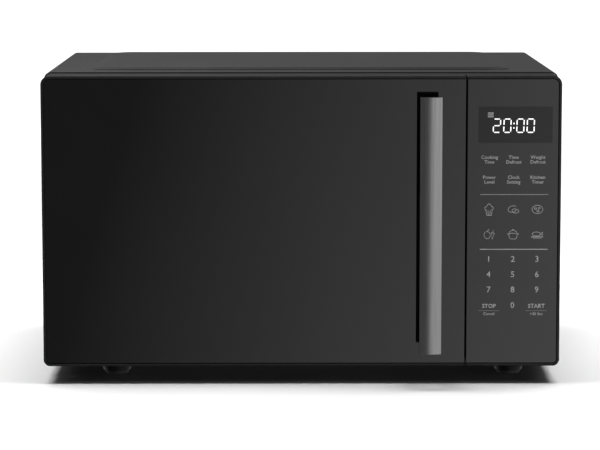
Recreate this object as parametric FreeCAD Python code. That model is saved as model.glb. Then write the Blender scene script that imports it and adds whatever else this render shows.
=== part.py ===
"""Countertop microwave oven, modelled as its separate pieces.

Frame: millimetres, +X to the right seen from the front, +Y to the back, +Z up.
The origin is on the surface the oven stands on, under the middle of its overall width and depth.
The front (door and control panel) faces -Y. The door hinges on its left edge, handle on the right.
"""

import FreeCAD, Part
import math
import os

from FreeCAD import Vector

# ---------------------------------------------------------------- driving dimensions
WIDTH = 483.0            # overall width, cabinet and front alike
FRONT_HEIGHT = 272.0     # lower to upper edge of the door
COVER_STEP = 1.0         # cabinet top above the upper edge of the door
FOOT_HEIGHT = 17.0       # surface to the lower edge of the door
EMBOSS_HEIGHT = 2.0      # raised panel pressed into the cabinet top
EMBOSS_RISER = 0.5       # steep foot of the raised panel
EMBOSS_SLOPE = 10.0      # width of its sloped border
EMBOSS_HALF = 201.0      # half its width
EMBOSS_START = 71.0      # glass face to its front edge
EMBOSS_END = 340.0       # glass face to its back edge
EMBOSS_CORNER_R = 22.0
DOOR_DEPTH = 38.0        # glass face to the back of the door
DOOR_GAP = 1.5           # door back to the front frame
CABINET_DEPTH = 313.5    # front frame to the back of the cover
HANDLE_REACH = 38.0      # glass face to the front of the handle
SPACER_REACH = 9.0       # back of the cover to the face of the wall spacer
DOOR_WIDTH = 394.2
SEAM = 1.5               # gap between the door and the control panel
SHEET = 1.0              # pressed steel sheet
GLASS = 3.2              # thickness of the front glasses
TOP_CORNER_R = 8.0       # upper corners of the door and the panel, seen from the front
COVER_CORNER_R = 6.0     # upper corners of the cover
BOTTOM_CORNER_R = 6.0
SMALL_CORNER_R = 1.5
RIM = 2.3                # plastic rim seen round the glass
RIM_BEVEL = 0.6
GROOVE = 0.9             # gap between rim and glass
CAVITY_WIDTH = 321.0
CAVITY_HEIGHT = 216.0
CAVITY_DEPTH = 300.0
TRAY_R = 135.0

# ---------------------------------------------------------------- places worked out from them
HALF = WIDTH / 2
TOTAL_DEPTH = HANDLE_REACH + DOOR_DEPTH + DOOR_GAP + CABINET_DEPTH + SPACER_REACH
Y_HANDLE = -TOTAL_DEPTH / 2
Y_GLASS = Y_HANDLE + HANDLE_REACH
Y_DOOR_BACK = Y_GLASS + DOOR_DEPTH
Y_FLANGE = Y_DOOR_BACK + DOOR_GAP
Y_COVER_BACK = Y_FLANGE + CABINET_DEPTH
Y_WALL = Y_COVER_BACK + SPACER_REACH
Y_REAR_PANEL = Y_COVER_BACK - SHEET - 0.1 - SHEET   # inner face of the rear panel
Z_LOW = FOOT_HEIGHT
Z_DOOR_TOP = FOOT_HEIGHT + FRONT_HEIGHT
Z_TOP = Z_DOOR_TOP + COVER_STEP
Z_BASE = FOOT_HEIGHT + 2.0                          # underside of the base plate
X_DOOR_L = -HALF
X_DOOR_R = -HALF + DOOR_WIDTH
X_PANEL_L = X_DOOR_R + SEAM
X_INSIDE = HALF - SHEET - 0.3                       # half width of the plates inside the cover

CAV_X1 = 113.0
CAV_X0 = CAV_X1 - CAVITY_WIDTH
CAV_Z0 = 46.0
CAV_Z1 = CAV_Z0 + CAVITY_HEIGHT
CAV_Y0 = Y_FLANGE + SHEET + 0.1
CAV_Y1 = Y_FLANGE + CAVITY_DEPTH
TRAY_X = (CAV_X0 + CAV_X1) / 2
TRAY_Y = (Y_FLANGE + CAV_Y1) / 2

HINGE_X = X_DOOR_L + 9.5
HINGE_Y = Y_DOOR_BACK - 14.0
HINGE_PIN_R = 2.5
HINGE_BORE_R = 2.58
HINGE_PLATE = 2.0
HINGE_PLATE_HALF = 6.5
HINGE_TOP_Z = Z_DOOR_TOP - 8.0        # underside of the upper hinge plate
HINGE_LOW_Z = Z_LOW + 8.0        # top of the lower hinge plate

HOOK_X0, HOOK_X1 = 142.0, 147.0
HOOK_UP_Z = 236.0                # underside of the upper hook
HOOK_LOW_Z = 60.0
HOOK_TALL = 10.0
HOOK_NOSE = 4.0
HOOK_LIFT = 5.0
HOOK_TIP_Y = Y_FLANGE + 23.5

LEVER_Z = HOOK_LOW_Z + 26.0      # pivot of the interlock lever
LEVER_ARM = 24.0
LEVER_Y0 = HOOK_TIP_Y + 0.3
LEVER_THICK = 4.7
LEVER_Y = LEVER_Y0 + LEVER_THICK / 2

ROLLER_R = 7.0
ROLLER_TRACK = 100.0
ROLLER_WIDE = 6.0
ROLLER_Z = CAV_Z0 + 0.3 + ROLLER_R
TRAY_Z = ROLLER_Z + ROLLER_R + 0.3   # underside of the glass tray
TRAY_THICK = 5.0
TRAY_TOP = TRAY_Z + 12.4

FAN_X, FAN_Z = 180.0, 215.0
MAG_Y, MAG_Z = 10.0, 210.0

HANDLE_X0 = 108.7
HANDLE_WIDE = 20.0
HANDLE_X = HANDLE_X0 + HANDLE_WIDE / 2
HANDLE_Z0 = Z_LOW + 17.4
HANDLE_LONG = 237.3
HANDLE_BACK = Y_GLASS - 25.0
HANDLE_POSTS = (HANDLE_Z0 + 18.0, HANDLE_Z0 + HANDLE_LONG - 18.0)

FEET = ((-177.0, -98.0), (199.0, -98.0), (-177.0, 160.0), (199.0, 160.0))

X_AXIS, Y_AXIS, Z_AXIS = Vector(1, 0, 0), Vector(0, 1, 0), Vector(0, 0, 1)
os.makedirs("parts", exist_ok=True)


# ---------------------------------------------------------------- helpers
def block(x0, x1, y0, y1, z0, z1):
    return Part.makeBox(x1 - x0, y1 - y0, z1 - z0, Vector(x0, y0, z0))


def rod(radius, start, direction, length):
    return Part.makeCylinder(radius, length, Vector(*start), direction)


def tube(outer, inner, start, direction, length):
    return rod(outer, start, direction, length).cut(rod(inner, start, direction, length))


def fuse(shapes):
    first, *rest = shapes
    return first.multiFuse(rest).removeSplitter() if rest else first


def cut(shape, tools):
    return shape.cut(Part.makeCompound(tools)) if tools else shape


def group(shapes):
    """Separate solids kept in one node."""
    return Part.makeCompound(shapes)


def outline(u0, u1, v0, v1, radii, place):
    """Closed wire of a rectangle with rounded corners.

    radii are those of the corners (u0, v0), (u1, v0), (u1, v1), (u0, v1); place turns (u, v) into a point.
    """
    centres = ((u0, v0, 1, 1, 180), (u1, v0, -1, 1, 270), (u1, v1, -1, -1, 0), (u0, v1, 1, -1, 90))
    edges, ends = [], []
    for (u, v, su, sv, first), r in zip(centres, radii):
        cu, cv = u + su * r, v + sv * r

        def at(angle, cu=cu, cv=cv, r=r):
            a = math.radians(angle)
            return place(cu + r * math.cos(a), cv + r * math.sin(a))

        ends.append((at(first), at(first + 90)))
        if r > 0:
            edges.append(Part.Arc(at(first), at(first + 45), at(first + 90)).toShape())
    for i in range(4):
        a, b = ends[i][1], ends[(i + 1) % 4][0]
        if (a - b).Length > 1e-6:
            edges.append(Part.LineSegment(a, b).toShape())
    return Part.Wire(Part.__sortEdges__(edges))


def front_slab(x0, x1, z0, z1, y0, y1, radii=(0, 0, 0, 0)):
    """Slab whose rounded outline is seen from the front. radii: low left, low right, top right, top left."""
    wire = outline(x0, x1, z0, z1, radii, lambda u, v: Vector(u, y0, v))
    return Part.Face(wire).extrude(Vector(0, y1 - y0, 0))


def flat_slab(x0, x1, y0, y1, z0, z1, radii=(0, 0, 0, 0)):
    """Slab whose rounded outline is seen from above."""
    wire = outline(x0, x1, y0, y1, radii, lambda u, v: Vector(u, v, z0))
    return Part.Face(wire).extrude(Vector(0, 0, z1 - z0))


def side_slab(y0, y1, z0, z1, x0, x1, radii=(0, 0, 0, 0)):
    """Slab whose rounded outline is seen from the side."""
    wire = outline(y0, y1, z0, z1, radii, lambda u, v: Vector(x0, u, v))
    return Part.Face(wire).extrude(Vector(x1 - x0, 0, 0))


def prism(points, direction):
    """Solid from a closed polygon of points, pushed along direction."""
    closed = [Vector(*p) for p in points]
    return Part.Face(Part.makePolygon(closed + closed[:1])).extrude(direction)


def turned(profile, x, y):
    """Solid of revolution about a vertical line, from (radius, z) points."""
    points = [Vector(x + r, y, z) for r, z in profile]
    face = Part.Face(Part.makePolygon(points + points[:1]))
    return face.revolve(Vector(x, y, 0), Z_AXIS, 360)


def spun(shape, degrees, x, y):
    """A copy turned about the vertical line through (x, y)."""
    copy = shape.copy()
    copy.rotate(Vector(x, y, 0), Z_AXIS, degrees)
    return copy


def rear_slots(xs, zs, long, tall, y0, y1):
    """Round-ended slots through a panel that faces the back."""
    r = tall / 2
    return [front_slab(x - long / 2, x + long / 2, z - r, z + r, y0, y1, (r * 0.99,) * 4) for x in xs
            for z in zs]


def side_slots(ys, zs, long, tall, x0, x1):
    """Round-ended slots through a panel that faces sideways."""
    r = tall / 2
    return [side_slab(y - long / 2, y + long / 2, z - r, z + r, x0, x1, (r * 0.99,) * 4) for y in ys
            for z in zs]


def steps(first, pitch, count):
    return [first + pitch * i for i in range(count)]


def save(name, shape):
    solids = shape.Solids
    bad = [i for i, s in enumerate(solids) if not s.isValid() or s.Volume <= 0]
    shape.exportStep(f"parts/{name}.step")
    box = shape.BoundBox
    print(f"{name}: {len(solids)} solids, {shape.Volume / 1000:.1f} cm3, "
          f"x {box.XMin:.1f}..{box.XMax:.1f} y {box.YMin:.1f}..{box.YMax:.1f} z {box.ZMin:.1f}..{box.ZMax:.1f}"
          + (f" BAD {bad}" if bad or not solids else ""))


# ---------------------------------------------------------------- cabinet
def cabinet_cover():
    """Painted wrap: top and both sides from one sheet, with a flange turned in at the back."""
    y0, y1 = Y_FLANGE, Y_COVER_BACK
    corner = (0, 0, COVER_CORNER_R, COVER_CORNER_R)
    inner_corner = (0, 0, COVER_CORNER_R - SHEET, COVER_CORNER_R - SHEET)
    outer = front_slab(-HALF, HALF, Z_BASE, Z_TOP, y0, y1, corner)
    hollow = front_slab(-HALF + SHEET, HALF - SHEET, Z_BASE - 1, Z_TOP - SHEET, y0 - 1, y1 - SHEET,
                        inner_corner)
    flange = 12.0
    window = front_slab(-HALF + flange, HALF - flange, Z_BASE - 1, Z_TOP - flange, y1 - 2 * SHEET, y1 + 1)
    wrap = outer.cut(hollow).cut(window)

    # raised panel in the top: sloped all round, corners rounded
    front, back = Y_GLASS + EMBOSS_START, Y_GLASS + EMBOSS_END

    def ring(z, inset):
        half = EMBOSS_HALF - inset
        radii = (EMBOSS_CORNER_R - inset * 0.5,) * 4
        return outline(-half, half, front + inset, back - inset, radii, lambda u, v: Vector(u, v, z))

    rings = [ring(Z_TOP - 0.5, 0.0), ring(Z_TOP, 0.0), ring(Z_TOP + EMBOSS_RISER, 0.3),
             ring(Z_TOP + EMBOSS_HEIGHT, EMBOSS_SLOPE)]
    raised = Part.makeLoft(rings, True, True)
    under = Part.makeLoft([ring(Z_TOP - SHEET - 0.1, 1.4),
                           ring(Z_TOP + EMBOSS_HEIGHT - SHEET, EMBOSS_SLOPE + 0.6)], True, True)
    wrap = wrap.fuse(raised).cut(under).removeSplitter()

    # louvres: outlet on the left side, intake low on the right side
    left = side_slots((120.0, 152.0), steps(120.0, 9.0, 14), 24.0, 3.2, -HALF - 1, -HALF + 2)
    right = side_slots((-70.0, -38.0, -6.0), steps(40.0, 9.0, 9), 24.0, 3.2, HALF - 2, HALF + 1)
    screw_holes = [rod(2.3, (x, y1 - 2, z), Y_AXIS, 4) for x, z in COVER_SCREWS]
    return cut(wrap, left + right + screw_holes)


COVER_SCREWS = [(x, Z_TOP - 6.5) for x in (-150.0, 0.0, 150.0)] + [(s * (HALF - 6.5), z) for s in (-1, 1)
                                                                   for z in (60.0, 170.0)]


def cover_screws():
    """Pan-head screws that hold the wrap to the rear panel."""
    made = []
    for x, z in COVER_SCREWS:
        head = Part.makeCone(4.0, 3.2, 2.2, Vector(x, Y_COVER_BACK, z), Y_AXIS)
        shank = rod(2.0, (x, Y_COVER_BACK - 7.0, z), Y_AXIS, 7.0)
        slot_a = block(x - 2.2, x + 2.2, Y_COVER_BACK + 1.2, Y_COVER_BACK + 3, z - 0.45, z + 0.45)
        slot_b = block(x - 0.45, x + 0.45, Y_COVER_BACK + 1.2, Y_COVER_BACK + 3, z - 2.2, z + 2.2)
        made.append(head.fuse(shank).removeSplitter().cut(slot_a).cut(slot_b))
    return group(made)


def rear_panel():
    """Steel back with the fan's intake, an outlet, and the hole for the mains gland."""
    y0, y1 = Y_REAR_PANEL, Y_REAR_PANEL + SHEET
    plate = front_slab(-X_INSIDE, X_INSIDE, Z_BASE, Z_TOP - SHEET - 0.2, y0, y1,
                       (0, 0, COVER_CORNER_R - SHEET, COVER_CORNER_R - SHEET))
    intake = rear_slots((FAN_X - 24.0, FAN_X + 24.0), steps(FAN_Z - 40.0, 8.0, 11), 40.0, 3.4, y0 - 1,
                        y1 + 1)
    outlet = rear_slots((-150.0, -110.0, -70.0), steps(226.0, 8.0, 5), 30.0, 3.4, y0 - 1, y1 + 1)
    low = rear_slots((-40.0, 0.0, 40.0), steps(34.0, 8.0, 3), 30.0, 3.4, y0 - 1, y1 + 1)
    gland = [rod(8.0, (GLAND_X, y0 - 1, GLAND_Z), Y_AXIS, 3)]
    screws = [rod(2.1, (x, y0 - 1, z), Y_AXIS, 3) for x, z in COVER_SCREWS]
    return cut(plate, intake + outlet + low + gland + screws)


GLAND_X, GLAND_Z, GLAND_BORE_R = 214.0, 70.0, 4.0


def cord_gland():
    """Bushing that the mains lead would leave through."""
    y = Y_REAR_PANEL + SHEET
    body = rod(7.9, (GLAND_X, y - 5.0, GLAND_Z), Y_AXIS, 5.0)
    flange = rod(11.0, (GLAND_X, y, GLAND_Z), Y_AXIS, 3.0)
    nose = Part.makeCone(8.0, 6.4, 5.5, Vector(GLAND_X, y + 3.0, GLAND_Z), Y_AXIS)
    return fuse([body, flange, nose]).cut(rod(GLAND_BORE_R, (GLAND_X, y - 6.0, GLAND_Z), Y_AXIS, 16.0))


def wall_spacer():
    """Plastic stand-off that keeps the back away from the wall."""
    y = Y_REAR_PANEL + SHEET
    foot = front_slab(-34, 34, 205, 235, y, y + 2.2, (5,) * 4)
    arch = front_slab(-26, 26, 210, 230, y + 2.2, Y_WALL, (6,) * 4)
    hollow = front_slab(-22.5, 22.5, 213.5, 226.5, y + 2.2, Y_WALL - 2.2, (3,) * 4)
    return foot.fuse(arch.cut(hollow)).removeSplitter()


def base_plate():
    """Steel tray under the oven, edges turned up inside the cover."""
    y0, y1 = Y_FLANGE + SHEET + 0.1, Y_REAR_PANEL - 0.1
    plate = flat_slab(-X_INSIDE, X_INSIDE, y0, y1, Z_BASE, Z_BASE + SHEET)
    lip = 14.0
    sides = [block(s * X_INSIDE - (SHEET if s > 0 else 0), s * X_INSIDE + (0 if s > 0 else SHEET),
                   y0, y1, Z_BASE, Z_BASE + lip) for s in (-1, 1)]
    vents = [flat_slab(x - 1.8, x + 1.8, y - 17, y + 17, Z_BASE - 1, Z_BASE + 2, (1.7,) * 4)
             for x in steps(140.0, 9.0, 9) for y in (-30.0, 30.0)]
    return cut(fuse([plate] + sides), vents)


def feet():
    """Plastic feet, wider where they meet the base plate."""
    return group([Part.makeCone(13.0, 17.0, Z_BASE - 3.0, Vector(x, y, 3.0), Z_AXIS) for x, y in FEET])


def foot_pads():
    return group([rod(11.0, (x, y, 0.0), Z_AXIS, 3.0) for x, y in FEET])


# ---------------------------------------------------------------- cooking cavity
def front_frame():
    """Steel face that the door seals on, with slots for the two hooks."""
    y0, y1 = Y_FLANGE, Y_FLANGE + SHEET
    corner = COVER_CORNER_R - SHEET
    face = front_slab(-X_INSIDE, X_INSIDE, Z_BASE, Z_TOP - SHEET - 0.2, y0, y1, (0, 0, corner, corner))
    mouth = front_slab(CAV_X0, CAV_X1, CAV_Z0, CAV_Z1, y0 - 1, y1 + 1, (14, 14, 0, 0))
    slots = [block(HOOK_X0 - 1.0, HOOK_X1 + 3.5, y0 - 1, y1 + 1, z - HOOK_NOSE - 1.0,
                   z + HOOK_TALL + HOOK_LIFT + 2.0)
             for z in (HOOK_UP_Z, HOOK_LOW_Z)]
    panel_wires = [front_slab(176, 216, 120, 200, y0 - 1, y1 + 1, (6,) * 4)]
    return cut(face, [mouth] + slots + panel_wires)


WG_Z0, WG_Z1 = 180.0, 236.0        # window that the microwaves enter the cavity by
WG_Y0, WG_Y1 = -25.0, 45.0


def cavity_wrap():
    """Floor and both side walls, bent from one enamelled sheet."""
    outer = front_slab(CAV_X0 - SHEET, CAV_X1 + SHEET, CAV_Z0 - SHEET, CAV_Z1, CAV_Y0, CAV_Y1 - 0.1,
                       (15, 15, 0, 0))
    inner = front_slab(CAV_X0, CAV_X1, CAV_Z0, CAV_Z1 + 1, CAV_Y0 - 1, CAV_Y1 + 1, (14, 14, 0, 0))
    wall = outer.cut(inner)
    window = block(CAV_X1 - 1, CAV_X1 + 2, WG_Y0 + 5, WG_Y1 - 5, WG_Z0 + 5, WG_Z1 - 5)
    shaft = rod(6.0, (TRAY_X, TRAY_Y, CAV_Z0 - 3), Z_AXIS, 6)
    pattern = [rod(1.6, (CAV_X1 - 1, y, z), X_AXIS, 3)
               for ys, zs in ((steps(-100.0, 6.0, 7), steps(196.0, 6.0, 7)),
                              (steps(96.0, 6.0, 6), steps(214.0, 6.0, 5)))
               for y in ys for z in zs]
    outlet = [rod(1.6, (CAV_X0 - 2, y, z), X_AXIS, 3) for y in steps(110.0, 6.0, 8)
              for z in steps(222.0, 6.0, 4)]
    return cut(wall, [window, shaft] + pattern + outlet)


def cavity_ceiling():
    return block(CAV_X0 - SHEET, CAV_X1 + SHEET, CAV_Y0, CAV_Y1 + SHEET, CAV_Z1, CAV_Z1 + SHEET)


def cavity_back():
    """Back wall, with a shallow pressing that stiffens it."""
    y = CAV_Y1
    plate = front_slab(CAV_X0 - SHEET, CAV_X1 + SHEET, CAV_Z0 - SHEET, CAV_Z1, y, y + SHEET, (15, 15, 0, 0))
    big, small = (TRAY_X - 105, TRAY_X + 105, 84, 224), (TRAY_X - 101, TRAY_X + 101, 88, 220)

    def ring(box, yy, r):
        return outline(*box, (r,) * 4, lambda u, v: Vector(u, yy, v))

    dish = Part.makeLoft([ring(big, y, 14), ring(small, y + 3.0, 12)], True, True)
    outside = Part.makeLoft([ring(big, y + SHEET, 14), ring(small, y + 3.0 + SHEET, 12)], True, True)
    return plate.fuse(outside).cut(dish).removeSplitter()


def waveguide():
    """Folded duct from the magnetron to the cavity's right wall."""
    x0, x1 = CAV_X1 + SHEET + 0.1, 152.0
    duct = block(x0, x1, WG_Y0 - 5, WG_Y1 + 5, WG_Z0 - 2, WG_Z1 + 2)
    inside = block(x0 - 1, x1 - SHEET, WG_Y0 - 4, WG_Y1 + 4, WG_Z0 - 1, WG_Z1 + 1)
    antenna = rod(10.0, (x1 - 3, MAG_Y, MAG_Z), X_AXIS, 6)
    return duct.cut(inside).cut(antenna)


def waveguide_cover():
    """Mica sheet over the window, inside the cavity."""
    return side_slab(WG_Y0, WG_Y1, WG_Z0, WG_Z1, CAV_X1 - 0.8, CAV_X1 - 0.2, (4,) * 4)


# ---------------------------------------------------------------- microwave source and its supply
def magnetron_body():
    """Yoke, anode with its antenna, and the two ring magnets."""
    x0, x1 = 152.1, 214.0
    y0, y1, z0, z1 = MAG_Y - 42, MAG_Y + 42, MAG_Z - 38, MAG_Z + 38
    yoke = block(x0, x1, y0, y1, z0, z1).cut(block(x0 + 2, x1 - 2, y0 - 1, y1 + 1, z0 + 2, z1 - 2))
    yoke = yoke.cut(rod(10.0, (x0 - 1, MAG_Y, MAG_Z), X_AXIS, 4))
    anode = rod(20.0, (x0 + 12, MAG_Y, MAG_Z), X_AXIS, x1 - x0 - 26)
    stem = rod(7.0, (x0 - 24, MAG_Y, MAG_Z), X_AXIS, 37)
    cap = rod(8.0, (x0 - 28, MAG_Y, MAG_Z), X_AXIS, 8)
    magnets = [tube(27.0, 10.0, (x, MAG_Y, MAG_Z), X_AXIS, 9.0) for x in (x0 + 2.5, x1 - 11.5)]
    return group([yoke, fuse([anode, stem, cap])] + magnets)


def magnetron_fins():
    """Aluminium cooling fins round the anode."""
    fins = [block(x, x + 0.8, MAG_Y - 38, MAG_Y + 38, MAG_Z - 34,
                  MAG_Z + 34).cut(rod(20.2, (x - 1, MAG_Y, MAG_Z), X_AXIS, 3))
            for x in steps(166.5, 5.0, 7)]
    return group(fins)


def magnetron_filter_box():
    """Screened box with the choke leads, hung under the yoke."""
    z1 = MAG_Z - 38 - 0.1
    box = block(160, 208, MAG_Y - 22, MAG_Y + 26, z1 - 30, z1)
    box = box.cut(block(161, 207, MAG_Y - 21, MAG_Y + 25, z1 - 29, z1 - 1))
    terminal = block(176, 192, MAG_Y - 34, MAG_Y - 22.1, z1 - 22, z1 - 8)
    return group([box, terminal])


def board(x0, x1, y0, y1, z):
    """Circuit board on four pillars that stand on the base plate."""
    plate = block(x0, x1, y0, y1, z, z + 1.6)
    pillars = [rod(3.0, (x, y, Z_BASE + SHEET), Z_AXIS, z - Z_BASE - SHEET) for x in (x0 + 5, x1 - 5)
               for y in (y0 + 5, y1 - 5)]
    return [plate] + pillars


def inverter_board():
    """Switching supply: board, pillars, capacitors and coil."""
    z = 44.0
    parts = board(124, 234, -70, 70, z)
    parts += [rod(9.0, (146 + 22 * i, -57, z + 1.6), Z_AXIS, 30.0) for i in range(3)]
    parts.append(block(210, 230, -44, -28, z + 1.6, z + 19))
    parts.append(tube(12.0, 6.0, (214, 50, z + 1.6), Z_AXIS, 12.0))
    return group(parts)


def inverter_transformer():
    """Ferrite core round two stacked windings."""
    x0, x1, y0, y1, z0 = 172.0, 226.0, -28.0, 28.0, 45.7
    core = block(x0, x1, y0 + 8, y1 - 8, z0, z0 + 46)
    window = block(x0 + 10, x1 - 10, y0, y1, z0 + 9, z0 + 37)
    centre = rod(9.0, ((x0 + x1) / 2, 0, z0 + 8.9), Z_AXIS, 28.2)
    coils = [tube(16.8, 9.4, ((x0 + x1) / 2, 0, z0 + 9.5 + 14 * i), Z_AXIS, 13.0) for i in range(2)]
    return group([fuse([core.cut(window), centre])] + coils)


def inverter_heat_sink():
    """Extruded aluminium sink with upright fins."""
    x0, x1, y0, y1, z0 = 130.0, 160.0, -48.0, 44.0, 45.7
    base = block(x0, x0 + 5, y0, y1, z0, z0 + 54)
    fins = [block(x0 + 5, x1, y, y + 2.0, z0, z0 + 54) for y in steps(y0, 10.0, 10)]
    return fuse([base] + fins)


def filter_board():
    """Mains filter next to the gland: board, choke, capacitor, fuse."""
    z = 40.0
    parts = board(126, 202, 92, 172, z)
    choke = Part.makeTorus(11.0, 4.5, Vector(148, 114, z + 6.2), Z_AXIS)
    capacitor = block(170, 196, 104, 118, z + 1.6, z + 20)
    fuse_tube = rod(3.0, (150, 146, z + 6.0), X_AXIS, 30.0)
    clips = [block(x, x + 5, 142, 150, z + 1.6, z + 2.9) for x in (152, 173)]
    return group(parts + [choke, capacitor, fuse_tube] + clips)


# ---------------------------------------------------------------- cooling, lamp, cut-outs
FAN_Y0 = 170.0


def fan_shroud():
    """Plate and collar round the fan, with struts that carry the motor."""
    half = 57.0
    plate = front_slab(FAN_X - half, FAN_X + half, FAN_Z - half, FAN_Z + half, FAN_Y0, FAN_Y0 + 2, (6,) * 4)
    plate = plate.cut(rod(51.0, (FAN_X, FAN_Y0 - 1, FAN_Z), Y_AXIS, 4))
    collar = tube(53.0, 51.0, (FAN_X, FAN_Y0 + 2, FAN_Z), Y_AXIS, 15.0)
    ring = tube(26.0, 19.0, (FAN_X, FAN_Y0 - 2, FAN_Z), Y_AXIS, 3.0)
    struts = []
    for i in range(4):
        strut = block(FAN_X + 24, FAN_X + 54, FAN_Y0 - 2, FAN_Y0 + 0.5, FAN_Z - 4, FAN_Z + 4)
        strut.rotate(Vector(FAN_X, 0, FAN_Z), Y_AXIS, 45 + 90 * i)
        struts.append(strut)
    return fuse([plate, collar, ring] + struts)


def fan_motor():
    """Shaded-pole motor: lamination stack, coil and bearing bridge."""
    y1 = FAN_Y0 - 2.1
    stack = front_slab(FAN_X - 30, FAN_X + 30, FAN_Z - 36, FAN_Z + 26, y1 - 18, y1, (3,) * 4)
    bridge = rod(12.0, (FAN_X, y1 - 26, FAN_Z), Y_AXIS, 8.0)
    coil = front_slab(FAN_X - 16, FAN_X + 16, FAN_Z - 62, FAN_Z - 36.1, y1 - 22, y1 + 0, (5,) * 4)
    bore = rod(2.06, (FAN_X, y1 - 23, FAN_Z), Y_AXIS, 40)
    return group([fuse([stack, bridge]).cut(bore), coil])


def fan_blade():
    """Seven-bladed impeller on its shaft."""
    hub = rod(13.0, (FAN_X, FAN_Y0 + 4, FAN_Z), Y_AXIS, 11.0)
    shaft = rod(2.0, (FAN_X, FAN_Y0 - 24, FAN_Z), Y_AXIS, 30.0)
    blades = []
    for i in range(7):
        blade = flat_slab(FAN_X - 12, FAN_X + 12, FAN_Y0 + 9.5 - 0.8, FAN_Y0 + 9.5 + 0.8, FAN_Z + 11,
                          FAN_Z + 47)
        blade.rotate(Vector(FAN_X, FAN_Y0 + 9.5, FAN_Z), Z_AXIS, 24)
        blade.rotate(Vector(FAN_X, 0, FAN_Z), Y_AXIS, 360.0 / 7 * i)
        blades.append(blade)
    return fuse([hub, shaft] + blades)


LAMP = (129.0, 112.0, 226.0)


def lamp_bulb():
    x, y, z = LAMP
    return Part.makeSphere(10.0, Vector(x, y, z)).fuse(rod(6.0, (x, y, z + 4), Z_AXIS, 14)).removeSplitter()


def lamp_holder():
    x, y, z = LAMP
    cup = rod(10.5, (x, y, z + 12), Z_AXIS, 16)
    foot = block(CAV_X1 + SHEET + 0.1, x + 9, y - 12, y + 12, z + 24, z + 30)
    return fuse([cup, foot]).cut(rod(6.2, (x, y, z + 11), Z_AXIS, 7.2))


def thermal_cutouts():
    """Bimetal discs on the cavity wall and on the magnetron yoke."""
    wall, yoke = CAV_X1 + SHEET + 0.1, 214.1
    made = []
    for x, y, z in ((wall, 60.0, 130.0), (yoke, MAG_Y, MAG_Z + 12)):
        cap = rod(8.0, (x, y, z), X_AXIS, 5.0)
        base = rod(6.5, (x + 5, y, z), X_AXIS, 5.0)
        tabs = [block(x + 10, x + 17, y + s * 4 - 0.4, y + s * 4 + 0.4, z - 3, z + 3) for s in (-1, 1)]
        made.append(fuse([cap, base] + tabs))
    return group(made)


# ---------------------------------------------------------------- turntable
def turntable_motor():
    """Flat synchronous motor under the cavity floor."""
    z1 = CAV_Z0 - SHEET - 0.1
    can = rod(24.5, (TRAY_X, TRAY_Y, z1 - 19), Z_AXIS, 19)
    ears = flat_slab(TRAY_X - 34, TRAY_X + 34, TRAY_Y - 6, TRAY_Y + 6, z1 - 1.2, z1, (5,) * 4)
    bore = rod(3.58, (TRAY_X, TRAY_Y, z1 - 9), Z_AXIS, 20)
    plug = block(TRAY_X - 9, TRAY_X + 9, TRAY_Y + 23, TRAY_Y + 34, z1 - 16, z1 - 4)
    return fuse([can, ears, plug]).cut(bore)


def drive_coupler():
    """Motor shaft with a three-armed hub that the tray drops over."""
    shaft = rod(3.5, (TRAY_X, TRAY_Y, CAV_Z0 - 9), Z_AXIS, 11)
    hub = rod(11.0, (TRAY_X, TRAY_Y, CAV_Z0 + 2), Z_AXIS, 9)
    arm = flat_slab(TRAY_X, TRAY_X + 20, TRAY_Y - 3.5, TRAY_Y + 3.5, CAV_Z0 + 3, TRAY_Z - 0.3, (0, 3, 3, 0))
    return fuse([shaft, hub] + [spun(arm, 120 * i, TRAY_X, TRAY_Y) for i in range(3)])


def glass_tray():
    """Round glass tray with a raised rim and six driving lumps under its centre."""
    top = TRAY_Z + TRAY_THICK
    dish = turned([(0, TRAY_Z), (119, TRAY_Z), (126, TRAY_Z + 1.6), (TRAY_R, TRAY_Z + 9.6),
                   (TRAY_R, TRAY_TOP - 0.8),
                   (TRAY_R - 0.8, TRAY_TOP), (TRAY_R - 3.4, TRAY_TOP), (124, top + 0.8), (118, top), (0, top)],
                  TRAY_X, TRAY_Y)
    lump = flat_slab(TRAY_X + 13, TRAY_X + 19, TRAY_Y - 4, TRAY_Y + 4, TRAY_Z - 5, TRAY_Z + 0.5, (1,) * 4)
    turns = [120 * i + side * 35 for i in range(3) for side in (-1, 1)]
    return fuse([dish] + [spun(lump, turn, TRAY_X, TRAY_Y) for turn in turns])


def roller_guide():
    """Three-armed guide that carries the rollers under the tray."""
    hub = tube(28.0, 23.0, (TRAY_X, TRAY_Y, ROLLER_Z - 3.5), Z_AXIS, 6.0)
    arm_end = ROLLER_TRACK - ROLLER_WIDE / 2 - 0.4
    arm = flat_slab(TRAY_X + 25, TRAY_X + arm_end, TRAY_Y - 5.5, TRAY_Y + 5.5, ROLLER_Z - 2.6,
                    ROLLER_Z + 2.6, (0, 1.5, 1.5, 0))
    axle = rod(2.0, (TRAY_X + arm_end - 2, TRAY_Y, ROLLER_Z), X_AXIS, ROLLER_WIDE + 4.0)
    cap = rod(2.9, (TRAY_X + arm_end + ROLLER_WIDE + 0.8, TRAY_Y, ROLLER_Z), X_AXIS, 1.4)
    one = [arm, axle, cap]
    return fuse([hub] + [spun(s, 120 * i, TRAY_X, TRAY_Y) for i in range(3) for s in one])


def roller(i):
    """Wheel on the i-th arm's axle; its axis points out from the centre."""
    x0 = TRAY_X + ROLLER_TRACK - ROLLER_WIDE / 2
    wheel = tube(ROLLER_R, 2.06, (x0, TRAY_Y, ROLLER_Z), X_AXIS, ROLLER_WIDE)
    return spun(wheel, 120 * i, TRAY_X, TRAY_Y)


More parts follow.
